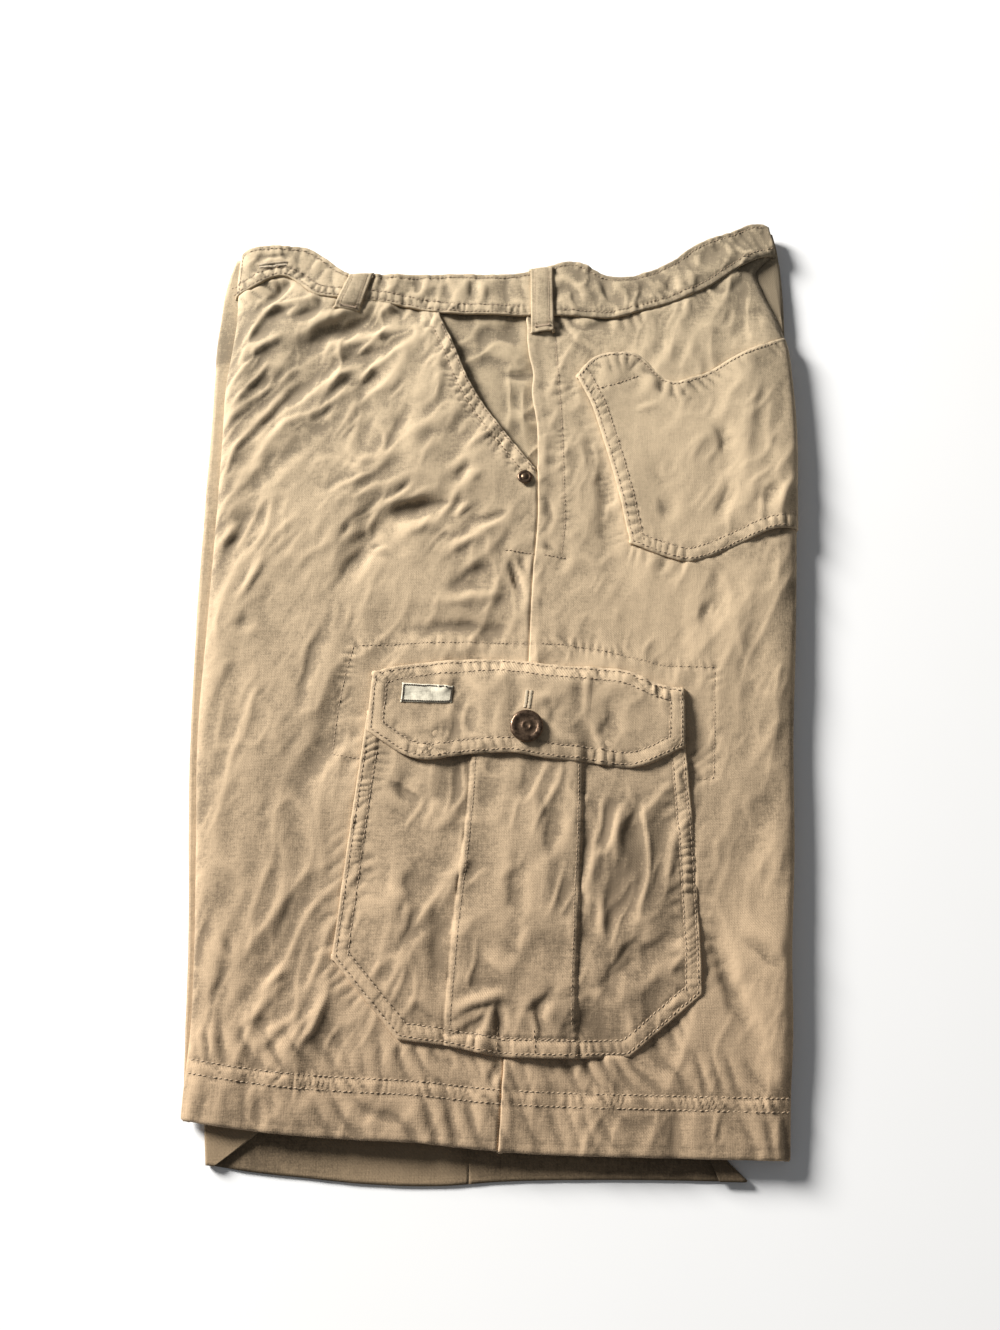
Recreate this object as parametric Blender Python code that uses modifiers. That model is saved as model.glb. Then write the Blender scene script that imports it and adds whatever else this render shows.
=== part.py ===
"""Men's cargo shorts, folded lengthwise and laid flat with the wearer's left leg on top.

The tables are in millimetres and the scene is in metres. +X runs from the front fold to the back
fold, +Y from the hems to the waist and +Z up from the surface that the shorts lie on. The origin is
the middle of the underside. Every panel is a thin wall on one shared surface, top_height, which
holds the rounded fold edges and the largest folds of the cloth.
"""

import math

import bmesh
import bpy
import numpy as np

MM = 0.001

# Cloth walls and clearances
CLOTH = 1.2
BAND_WALL = 2.4
FLAP_WALL = 2.0
LOOP_WALL = 1.6
LABEL_WALL = 0.6
SEAM = 0.3
LAY = 0.4
FOLD_SLACK = 0.5

# The stack of folded layers
UNDER_LEG_TOP = 6.0
LIP_GROOVE = 1.6
EDGE_HEIGHT = 7.4
FOLD_REACH = 16.0
CORE_DROP = 1.9
CORE_EDGE_DROP = 1.0
CORE_INSET = 3.5
POCKET_MOUTH_DROP = 2.1

# Trims
BUTTON_AT = (13.0, -68.0)
BUTTON_RADIUS = 10.0
BUTTON_HEIGHT = 3.2
RIVET_AT = (13.5, 106.0)
RIVET_RADIUS = 5.0
RIVET_HEIGHT = 1.7

# Pocket and hem relief
POCKET_PUFF = 2.2
POCKET_SHOULDER = 50.0
POCKET_FOOT = -256.0
PLEAT_RISE = 1.6
PLEAT_SHOULDER = 3.0
UNDER_HEM_OPEN = 1.5
FLAP_SINK = 14.0
FLAP_REACH = 7.0

# Spacing of the mesh, and the distances of its first columns from a fold edge
GRID = 12.0
FOLD_COLUMNS = (1.6, 5.0, 10.0, 17.0)


def table(names, rows):
    """Named columns of a short table, as arrays."""
    return dict(zip(names.split(), np.array(rows, float).T))


# Edges of the folded leg at levels up its length: the layers below and the two folds of the top leg
EDGES = table(
    "y under_front front back under_back",
    (
        (-310, -170, -179, 155, 142),
        (-277, -178, -179, 158, 150),
        (-246, -181, -178, 162, 157),
        (-197, -184, -180, 166, 161),
        (-145, -189, -184, 172, 167),
        (-72, -195, -190, 178, 173),
        (8, -199, -191, 187, 182),
        (95, -201, -192, 195, 191),
        (141, -202, -193, 199, 195),
        (187, -203, -194, 200, 197),
        (214, -204, -192, 199, 199),
        (239, -203, -191, 193, 201),
        (262, -202, -192, 185, 202),
        (280, -199, -192, 183, 202),
        (287, -197, -192, 189, 202),
        (294, -195, -191, 197, 201),
        (320, -193, -190, 197, 198),
    ),
)

# Lower edge of the waistband, where the panels are sewn to it
WAIST_SEAM = table(
    "x y",
    (
        (-196, 254),
        (-176, 263),
        (-167, 269),
        (-156, 270),
        (-147, 264),
        (-137, 255),
        (-126, 252),
        (-93, 250),
        (-70, 245),
        (-42, 239),
        (0, 237),
        (50, 236),
        (83, 235),
        (97, 240),
        (122, 249),
        (147, 262),
        (170, 279),
        (187, 289),
        (200, 293),
    ),
)

# Upper edge of the waistband
WAIST_TOP = table(
    "x y",
    (
        (-196, 290),
        (-184, 296),
        (-160, 298),
        (-142, 296),
        (-126, 284),
        (-115, 275),
        (-95, 273),
        (-39, 273),
        (10, 274),
        (34, 280),
        (48, 284),
        (60, 280),
        (72, 272),
        (88, 270),
        (104, 275),
        (121, 284),
        (134, 295),
        (150, 304),
        (167, 311),
        (180, 318),
        (190, 319),
        (200, 314),
    ),
)

# Hem of the top leg and hem of the leg below it
HEM = table(
    "x y",
    (
        (-182, -287),
        (-140, -293),
        (-91, -297),
        (-49, -299),
        (-21, -302),
        (30, -305),
        (69, -306),
        (111, -307),
        (158, -308),
    ),
)
UNDER_HEM = table(
    "x y",
    (
        (-166, -310),
        (-140, -314),
        (-110, -317),
        (-77, -320),
        (-35, -321),
        (-4, -319),
        (56, -318),
        (134, -319),
    ),
)
UNDER_LINE = ((-176.0, -282.0), (150.0, -298.0))
UNDER_SEAM_X = -20.0

# Fold at each end of the under hem and the width of cloth turned over on it, from hem to line
UNDER_FRONT_END = table("v fold turned", ((0, -164, 3), (0.5, -166, 26), (1, -168, 46)))
UNDER_BACK_END = table("v fold turned", ((0, 132, 14), (0.5, 117, 5), (1, 103, 4)))

# Side seam from the hem to the waist: above the pocket mouth it is the edge beside the facing
SIDE_SEAM = table(
    "y x",
    (
        (-303, -4),
        (-255, -1),
        (-150, 6),
        (-60, 13),
        (-20, 15),
        (34, 18),
        (81, 22),
        (112, 22),
        (147, 22),
        (175, 19),
        (187, 20),
        (206, 17),
        (237, 16),
    ),
)
POCKET_MOUTH = table(
    "y x",
    (
        (112, 22),
        (134, 6),
        (162, -13),
        (180, -23),
        (215, -36),
        (239, -46),
    ),
)

# Patch pocket on the back panel
BACK_POCKET_TOP = table(
    "x y",
    (
        (50, 186),
        (58, 197),
        (78, 205),
        (95, 202),
        (103, 193),
        (111, 184),
        (135, 187),
        (161, 202),
        (200, 221),
    ),
)
BACK_POCKET_BOTTOM = table(
    "x y",
    (
        (82, 58),
        (103, 49),
        (117, 45),
        (139, 51),
        (158, 60),
        (176, 68),
        (200, 70),
    ),
)
BACK_POCKET_SIDE = table("y x", ((58, 82), (109, 73), (135, 67), (164, 59), (186, 50)))

# Bellows pocket on the side seam and its flap
CARGO_LEFT = table("y x", ((-202, -99), (-182, -97), (-150, -94), (-111, -90), (-56, -84)))
CARGO_RIGHT = table("y x", ((-222, 111), (-186, 112), (-149, 112), (-111, 111), (-62, 109)))
CARGO_BOTTOM = table(
    "x y",
    (
        (-99, -202),
        (-60, -246),
        (-33, -249),
        (-3, -255),
        (39, -256),
        (69, -255),
        (111, -222),
    ),
)
CARGO_COLUMNS = (-86, -73, -48, -36, -30, -18, 10, 24, 36, 42, 54, 84, 98)
CARGO_TOP = table("x y", ((-84, -56), (-20, -50), (50, -52), (109, -62)))
PLEAT_FRONT = table("y x", ((-256, -33), (-241, -33), (-199, -30), (-156, -26), (-111, -21), (-50, -19)))
PLEAT_BACK = table("y x", ((-256, 39), (-227, 39), (-171, 42), (-123, 45), (-50, 47)))
FLAP_TOP = table(
    "x y",
    (
        (-82, -31),
        (-66, -27),
        (-40, -24),
        (0, -23),
        (34, -27),
        (58, -28),
        (78, -31),
        (95, -39),
        (111, -42),
    ),
)
FLAP_BOTTOM = table(
    "x y",
    (
        (-84, -69),
        (-56, -86),
        (-19, -84),
        (8, -84),
        (25, -87),
        (48, -89),
        (79, -92),
        (109, -79),
    ),
)

# Four corners of each small strip: lower left, lower right, upper right, upper left
FRONT_LOOP = ((-121, 242), (-103, 240), (-94, 272), (-111, 271))
SIDE_LOOP = ((19, 221), (35, 223), (35, 277), (19, 276))
LABEL = ((-64, -51), (-34, -52), (-31, -41), (-63, -39))

# Height of the top surface up the leg, away from its rounded edges
THICKNESS = table(
    "y z",
    (
        (-310, 8.6),
        (-285, 10.2),
        (-240, 12.0),
        (-120, 13.4),
        (40, 13.8),
        (160, 13.4),
        (230, 12.6),
        (270, 11.6),
        (320, 10.6),
    ),
)

# Largest folds of the cloth: ends, sideways bow, half width, and height (below zero for a trough)
FOLDS = table(
    "x0 y0 x1 y1 bow half_width height",
    (
        (-158, 207, -66, 243, 2, 13, -1.8),
        (-182, 236, -124, 252, 3, 14, 1.6),
        (-186, 192, -134, 226, 6, 14, 1.5),
        (-134, 196, -180, 40, -14, 14, -1.6),
        (-92, 186, -106, 124, 3, 13, -1.2),
        (-68, 156, -84, 108, 2, 13, -1.0),
        (-86, 68, -26, 84, 12, 16, -1.5),
        (-86, 76, -112, 20, 2, 13, -1.1),
        (-110, 18, -126, -48, 2, 15, 1.3),
        (-68, 3, 12, -4, 0, 14, -1.3),
        (-42, 45, 2, 27, 0, 14, -1.1),
        (58, 143, 76, 46, 2, 13, -1.1),
        (148, 190, 147, 120, 0, 14, -1.2),
        (114, -175, 142, -256, 3, 14, -1.5),
        (-108, -228, -120, -262, 0, 13, 1.3),
        (-150, -60, -160, -170, 5, 18, 1.0),
    ),
)
FOLD_STEPS = 6


def smooth(xs, ys, x):
    """Cubic through the rows of a table, with the slope at each row taken from its neighbours."""
    x = np.asarray(x, float)
    slopes = np.gradient(ys, xs)
    at = np.clip(np.searchsorted(xs, x, side="right") - 1, 0, len(xs) - 2)
    span = xs[at + 1] - xs[at]
    t = np.clip((x - xs[at]) / span, 0.0, 1.0)
    start = (1 + 2 * t) * (1 - t) ** 2 * ys[at] + t * (1 - t) ** 2 * span * slopes[at]
    end = t * t * (3 - 2 * t) * ys[at + 1] + t * t * (t - 1) * span * slopes[at + 1]
    return start + end


def edge_at(name, y):
    return smooth(EDGES["y"], EDGES[name], y)


def y_of(edge, x):
    return smooth(edge["x"], edge["y"], x)


def x_of(edge, y):
    return smooth(edge["y"], edge["x"], y)


def ease(t):
    """0 to 1 with level ends."""
    t = np.clip(t, 0.0, 1.0)
    return t * t * (3 - 2 * t)


def rounded(distance):
    """Quarter round that lifts the cloth from a fold edge to its full height."""
    t = np.clip(distance / FOLD_REACH, 0.0, 1.0)
    return np.sqrt(t * (2 - t))


def bowed_line(row):
    """Points along one fold, bent sideways by its bow."""
    start = np.array([FOLDS["x0"][row], FOLDS["y0"][row]])
    end = np.array([FOLDS["x1"][row], FOLDS["y1"][row]])
    side = np.array([start[1] - end[1], end[0] - start[0]])
    side = side / np.linalg.norm(side)
    t = np.linspace(0, 1, FOLD_STEPS)[:, None]
    return start + (end - start) * t + side * FOLDS["bow"][row] * 4 * t * (1 - t)


def distance_to_line(x, y, line):
    nearest = np.full(np.shape(x), np.inf)
    for a, b in zip(line[:-1], line[1:]):
        along = b - a
        t = ((x - a[0]) * along[0] + (y - a[1]) * along[1]) / (along @ along)
        t = np.clip(t, 0.0, 1.0)
        gap = np.hypot(x - a[0] - t * along[0], y - a[1] - t * along[1])
        nearest = np.minimum(nearest, gap)
    return nearest


FOLD_LINES = [bowed_line(row) for row in range(len(FOLDS["x0"]))]


def top_height(x, y):
    """Height of the outer face of the top leg's panels."""
    x = np.asarray(x, float)
    y = np.asarray(y, float)
    front = x - edge_at("front", y)
    back = edge_at("back", y) - x
    full = smooth(THICKNESS["y"], THICKNESS["z"], y)
    edge = EDGE_HEIGHT - 1.0 + ease((y + 310) / 60)
    z = edge + (full - edge) * rounded(front) * rounded(back)
    inside = ease(np.minimum(front, back) / FOLD_REACH)
    for line, half_width, height in zip(FOLD_LINES, FOLDS["half_width"], FOLDS["height"]):
        z = z + inside * height * np.exp(-((distance_to_line(x, y, line) / half_width) ** 2))
    return z


def cargo_pocket_rise(x, y):
    """How far the bellows pocket stands off the panel: its puff, and the box pleat down its middle."""
    front = x - x_of(CARGO_LEFT, y)
    back = x_of(CARGO_RIGHT, y) - x
    puff = ease(front / POCKET_SHOULDER) * ease(back / POCKET_SHOULDER)
    puff = puff * ease((y - POCKET_FOOT) / POCKET_SHOULDER)
    pleat = ease((x - x_of(PLEAT_FRONT, y)) / PLEAT_SHOULDER + 0.5)
    pleat = pleat * ease((x_of(PLEAT_BACK, y) - x) / PLEAT_SHOULDER + 0.5)
    return POCKET_PUFF * puff + PLEAT_RISE * pleat


def flap_rise(x, y):
    """How far the flap stands off the panel: it is sewn flat at its top and lies over the pocket."""
    below_top = y_of(FLAP_TOP, x) - y
    over = ease(below_top / FLAP_SINK)
    reach = FLAP_REACH
    pocket = np.maximum(cargo_pocket_rise(x - reach, y - 4), cargo_pocket_rise(x + reach, y - 4))
    return over * (np.maximum(pocket, cargo_pocket_rise(x, y - 4)) + CLOTH + LAY)


def surface(x, y, out=0.0, rise=None):
    """Point on the top surface, moved out along its normal, with the normal found by small steps."""
    step = 1.0

    def height(px, py):
        z = top_height(px, py)
        return z if rise is None else z + rise(px, py)

    z = height(x, y)
    slope_x = (height(x + step, y) - height(x - step, y)) / (2 * step)
    slope_y = (height(x, y + step) - height(x, y - step)) / (2 * step)
    normal = np.stack([-slope_x, -slope_y, np.ones_like(z)], axis=-1)
    normal = normal / np.linalg.norm(normal, axis=-1, keepdims=True)
    return np.stack([x, y, z], axis=-1) + normal * np.asarray(out, float)[..., None]


def patch(left, right, bottom, top):
    """Grid of plan points between four edges: left and right run up, bottom and top run across."""
    u = np.linalg.norm(np.diff(bottom, axis=0), axis=1) + np.linalg.norm(np.diff(top, axis=0), axis=1)
    v = np.linalg.norm(np.diff(left, axis=0), axis=1) + np.linalg.norm(np.diff(right, axis=0), axis=1)
    u = (np.concatenate([[0], np.cumsum(u)]) / u.sum())[None, :, None]
    v = (np.concatenate([[0], np.cumsum(v)]) / v.sum())[:, None, None]
    ruled_across = (1 - u) * left[:, None] + u * right[:, None]
    ruled_up = (1 - v) * bottom[None] + v * top[None]
    low = (1 - u) * bottom[0] + u * bottom[-1]
    high = (1 - u) * top[0] + u * top[-1]
    return ruled_across + ruled_up - (1 - v) * low - v * high


def pull_in(grid, left=0.0, right=0.0, bottom=0.0, top=0.0):
    """Move the edges of a plan grid inwards, for the gap at a seam."""
    moves = (
        (grid[:, 0], grid[:, 1], left),
        (grid[:, -1], grid[:, -2], right),
        (grid[0], grid[1], bottom),
        (grid[-1], grid[-2], top),
    )
    for edge, inner, gap in moves:
        way = inner - edge
        edge += way / np.linalg.norm(way, axis=-1, keepdims=True) * gap
    return grid


def across(edge, x):
    """Points of an edge that is a height for each x."""
    return np.stack([x, y_of(edge, x)], axis=1)


def upward(edge, y):
    """Points of an edge that is an x for each height."""
    return np.stack([x_of(edge, y), y], axis=1)


def under_line(x):
    """Where the hem of the leg below leaves the folded layers."""
    (ax, ay), (bx, by) = UNDER_LINE
    return ay + (by - ay) * (x - ax) / (bx - ax)


def fold_edge(name, y):
    return np.stack([edge_at(name, y), y], axis=1)


def stations(start, end, spacing, near_start=(), near_end=()):
    """Values from start to end about a spacing apart, with extra ones at set distances from an end."""
    way = math.copysign(1.0, end - start)
    first = [start + way * d for d in near_start]
    last = [end - way * d for d in near_end]
    a = first[-1] if first else start
    b = last[-1] if last else end
    count = max(2, round(abs(b - a) / spacing) + 1)
    return np.array(([start] + first[:-1] if first else []) + list(np.linspace(a, b, count))
                    + (last[:-1][::-1] + [end] if last else []))


def material(name, colour, roughness, metallic=0.0):
    made = bpy.data.materials.new(name)
    made.use_nodes = True
    shader = made.node_tree.nodes["Principled BSDF"]
    shader.inputs["Base Color"].default_value = (*colour, 1.0)
    shader.inputs["Roughness"].default_value = roughness
    shader.inputs["Metallic"].default_value = metallic
    return made


def grid_mesh(points):
    """A grid of faces laid on rows and columns of points."""
    rows, columns = points.shape[:2]
    bm = bmesh.new()
    bmesh.ops.create_grid(bm, x_segments=columns - 1, y_segments=rows - 1, size=0.5)
    for vertex in bm.verts:
        column = round((vertex.co.x + 0.5) * (columns - 1))
        row = round((vertex.co.y + 0.5) * (rows - 1))
        vertex.co = points[row, column]
    return bm


def add_object(name, bm, collection, look):
    """Turn a bmesh in millimetres into an object in metres, shaded smooth."""
    bmesh.ops.scale(bm, vec=(MM, MM, MM), verts=bm.verts)
    mesh = bpy.data.meshes.new(name)
    bm.to_mesh(mesh)
    bm.free()
    mesh.shade_smooth()
    mesh.materials.append(look)
    made = bpy.data.objects.new(name, mesh)
    collection.objects.link(made)
    return made


def cloth(name, points, wall, collection, look):
    """A wall of cloth whose outer face is the grid, thickened inwards."""
    made = add_object(name, grid_mesh(points), collection, look)
    shell = made.modifiers.new("wall", "SOLIDIFY")
    shell.thickness = wall * MM
    shell.offset = -1.0
    return made


def front_panel(collection, look):
    """Left leg's front, from the fold to the side seam and the slanted pocket mouth."""
    low = stations(-179, -4.3, GRID, near_start=FOLD_COLUMNS)
    share = (low - low[0]) / (low[-1] - low[0])
    seam = upward(SIDE_SEAM, stations(-303, 111, GRID))
    mouth = upward(POCKET_MOUTH, stations(113, 238.6, GRID))
    right = np.concatenate([seam, mouth])
    top = across(WAIST_SEAM, -191.5 + share * 145.5)
    bottom = across(HEM, low)
    left = fold_edge("front", np.linspace(bottom[0, 1], top[0, 1], len(right)))
    right[0], right[-1] = bottom[-1], top[-1]
    plan = pull_in(patch(left, right, bottom, top), right=SEAM, top=2 * SEAM)
    return cloth("front_panel", surface(plan[..., 0], plan[..., 1]), CLOTH, collection, look)


def back_panel(collection, look):
    """Left leg's back, from the side seam to the fold."""
    top_x = stations(16, 198, GRID, near_end=FOLD_COLUMNS)
    share = (top_x - top_x[0]) / (top_x[-1] - top_x[0])
    seam = upward(SIDE_SEAM, stations(-303, 111, GRID))
    side = upward(SIDE_SEAM, stations(113, 236, GRID))
    left = np.concatenate([seam, side])
    bottom = across(HEM, -4 + share * 159)
    top = across(WAIST_SEAM, top_x)
    right = fold_edge("back", np.linspace(bottom[-1, 1], top[-1, 1], len(left)))
    left[0], left[-1] = bottom[0], top[0]
    bottom[-1, 0] = right[0, 0]
    top[-1] = right[-1]
    plan = pull_in(patch(left, right, bottom, top), left=SEAM, top=2 * SEAM)
    return cloth("back_panel", surface(plan[..., 0], plan[..., 1]), CLOTH, collection, look)


def pocket_facing(collection, look):
    """Cloth of the pocket bag that shows inside the slanted mouth, one layer below the panels."""
    y = stations(118, 234, GRID)
    left = upward(POCKET_MOUTH, y) - np.array([5.0, 0.0])
    right = upward(SIDE_SEAM, y) + np.array([4.0, 0.0])
    share = np.linspace(0, 1, 7)[:, None]
    bottom = left[0] + (right[0] - left[0]) * share
    top = left[-1] + (right[-1] - left[-1]) * share
    plan = patch(left, right, bottom, top)
    points = surface(plan[..., 0], plan[..., 1], -(CLOTH + LAY))
    return cloth("pocket_facing", points, CLOTH, collection, look)


def waistband(collection, look):
    """Left half of the waistband, from the fly end to the middle of the back."""
    x = np.concatenate([stations(-191.5, -46, GRID * 0.7), stations(-38, 8, GRID * 0.7),
                        stations(16, 198, GRID * 0.7)])
    low = across(WAIST_SEAM, x)
    lean = np.interp(x, (-191.5, 198), (2.5, -3.0))
    high = across(WAIST_TOP, x + lean)
    rows = 5
    left = low[0] + (high[0] - low[0]) * np.linspace(0, 1, rows)[:, None]
    right = low[-1] + (high[-1] - low[-1]) * np.linspace(0, 1, rows)[:, None]
    plan = pull_in(patch(left, right, low, high), bottom=2 * SEAM)
    points = surface(plan[..., 0], plan[..., 1], BAND_WALL - CLOTH)
    return cloth("waistband", points, BAND_WALL, collection, look)


def quad_plan(corners, columns, rows):
    """Grid of plan points between four corners: lower left, lower right, upper right, upper left."""
    a, b, c, d = (np.array(corner, float) for corner in corners)
    u = np.linspace(0, 1, columns)[:, None]
    v = np.linspace(0, 1, rows)[:, None]
    return patch(a + (d - a) * v, b + (c - b) * v, a + (b - a) * u, d + (c - d) * u)


def belt_loop(name, corners, collection, look):
    """Strip over the waistband, its lower end turned under on the panel below."""
    plan = quad_plan(corners, 3, 8)
    v = np.linspace(0, 1, 8)[:, None]
    over_band = BAND_WALL - CLOTH + LAY
    lift = LAY + LOOP_WALL + (over_band - LAY) * ease(v / 0.2)
    return cloth(name, surface(plan[..., 0], plan[..., 1], lift), LOOP_WALL, collection, look)


def back_pocket(collection, look):
    """Patch pocket that runs to the back fold."""
    share = stations(0, 1, 0.09, near_end=(0.025, 0.055, 0.095))
    y = stations(58, 186, GRID)
    left = upward(BACK_POCKET_SIDE, y)
    top = across(BACK_POCKET_TOP, 50 + share * 148)
    bottom = across(BACK_POCKET_BOTTOM, 82 + share * 110)
    right = fold_edge("back", np.linspace(bottom[-1, 1], top[-1, 1], len(y))) - np.array([SEAM, 0.0])
    top[-1], bottom[-1] = right[-1], right[0]
    left[0], left[-1] = bottom[0], top[0]
    plan = patch(left, right, bottom, top)
    near_fold = 1 - ease((edge_at("back", plan[..., 1]) - plan[..., 0]) / FOLD_REACH)
    points = surface(plan[..., 0], plan[..., 1], LAY + CLOTH + FOLD_SLACK * near_fold)
    return cloth("back_pocket", points, CLOTH, collection, look)


def cargo_pocket(collection, look):
    """Bellows pocket over the side seam, with cut-off lower corners and a raised box pleat."""
    bottom = np.stack([CARGO_BOTTOM["x"], CARGO_BOTTOM["y"]], axis=1)
    x = np.sort(np.concatenate([bottom[:, 0], CARGO_COLUMNS]))
    low = np.stack([x, np.interp(x, bottom[:, 0], bottom[:, 1])], axis=1)
    share = (x - x[0]) / (x[-1] - x[0])
    high_x = -84 + share * 193
    high = across(CARGO_TOP, high_x)
    rows = 16
    left = upward(CARGO_LEFT, np.linspace(-202, high[0, 1], rows))
    right = upward(CARGO_RIGHT, np.linspace(-222, high[-1, 1], rows))
    left[0], left[-1], right[0], right[-1] = low[0], high[0], low[-1], high[-1]
    plan = patch(left, right, low, high)
    points = surface(plan[..., 0], plan[..., 1], LAY + CLOTH, cargo_pocket_rise)
    return cloth("cargo_pocket", points, CLOTH, collection, look)


def cargo_flap(collection, look):
    """Flap of two layers, sewn above the pocket and buttoned down over it."""
    share = np.linspace(0, 1, 21)
    high = across(FLAP_TOP, -82 + share * 193)
    low = across(FLAP_BOTTOM, -84 + share * 193)
    rows = 7
    left = low[0] + (high[0] - low[0]) * np.linspace(0, 1, rows)[:, None]
    right = low[-1] + (high[-1] - low[-1]) * np.linspace(0, 1, rows)[:, None]
    plan = patch(left, right, low, high)
    points = surface(plan[..., 0], plan[..., 1], LAY + FLAP_WALL, flap_rise)
    return cloth("cargo_flap", points, FLAP_WALL, collection, look)


def label(collection, look):
    """Small blank woven tag on the flap."""
    plan = quad_plan(LABEL, 5, 3)
    out = FLAP_WALL + LABEL_WALL + 3 * LAY
    points = surface(plan[..., 0], plan[..., 1], out, flap_rise)
    return cloth("label", points, LABEL_WALL, collection, look)


def turned(name, centre, z, profile, collection, look, steps=32):
    """Round trim turned from a profile of radius and height, listed from the top middle outwards."""
    bm = bmesh.new()
    corners = [bm.verts.new((radius, 0.0, height)) for radius, height in profile]
    for a, b in zip(corners[:-1], corners[1:]):
        bm.edges.new((a, b))
    made = add_object(name, bm, collection, look)
    made.location = (centre[0] * MM, centre[1] * MM, z * MM)
    screw = made.modifiers.new("turn", "SCREW")
    screw.steps = steps
    screw.render_steps = steps
    screw.use_merge_vertices = True
    screw.merge_threshold = 0.00001
    return made


def highest_near(centre, radius, rise=None):
    """Highest point of the surface under a round trim."""
    turn = np.linspace(0, 2 * math.pi, 17)
    x = centre[0] + np.concatenate([[0.0], radius * np.cos(turn)])
    y = centre[1] + np.concatenate([[0.0], radius * np.sin(turn)])
    z = top_height(x, y)
    if rise is not None:
        z = z + rise(x, y)
    return float(z.max())


def tack_button(collection, look):
    r, h = BUTTON_RADIUS, BUTTON_HEIGHT
    profile = ((0, h - 0.5), (0.62 * r, h - 0.5), (0.72 * r, h), (0.9 * r, h - 0.1), (r, h - 0.9),
               (r, 0.8), (0.85 * r, 0.0), (0, 0.0))
    z = highest_near(BUTTON_AT, r, flap_rise) + LAY + FLAP_WALL + LAY
    return turned("tack_button", BUTTON_AT, z, profile, collection, look)


def rivet(collection, look):
    r, h = RIVET_RADIUS, RIVET_HEIGHT
    profile = ((0, h), (0.3 * r, h), (0.45 * r, 0.6 * h), (0.8 * r, 0.75 * h), (r, 0.3 * h), (r, 0.0),
               (0, 0.0))
    z = highest_near(RIVET_AT, r) + LAY
    return turned("rivet", RIVET_AT, z, profile, collection, look, steps=24)


def under_hem(name, end, side, collection, look):
    """Open hem of the leg below, from its side seam to its fold, with the cloth turned over at the fold."""
    v = np.linspace(0, 1, 5)
    fold = np.interp(v, end["v"], end["fold"])
    turned_over = np.interp(v, end["v"], end["turned"])
    seam = UNDER_SEAM_X + side * SEAM / 2
    radius = UNDER_HEM_OPEN / 2
    points = []
    for share, fold_x, width in zip(v, fold, turned_over):
        centre = fold_x - side * (radius + CLOTH)
        section = [(x, CLOTH, 2 * SEAM) for x in np.linspace(seam, centre, 12)]
        for angle in np.radians((-60, -20, 20, 60)):
            x = centre + side * radius * math.cos(angle)
            section.append((x, CLOTH + radius + radius * math.sin(angle), 2 * SEAM + CLOTH))
        top = CLOTH + UNDER_HEM_OPEN
        section += [(x, top, 2 * SEAM + CLOTH) for x in np.linspace(centre, centre - side * width, 4)]
        row = []
        for x, z, gap in section:
            hem = y_of(UNDER_HEM, x)
            row.append((x, hem + (under_line(x) - gap - hem) * share, z))
        points.append(row)
    return cloth(name, np.array(points)[:, ::side], CLOTH, collection, look)


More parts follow.
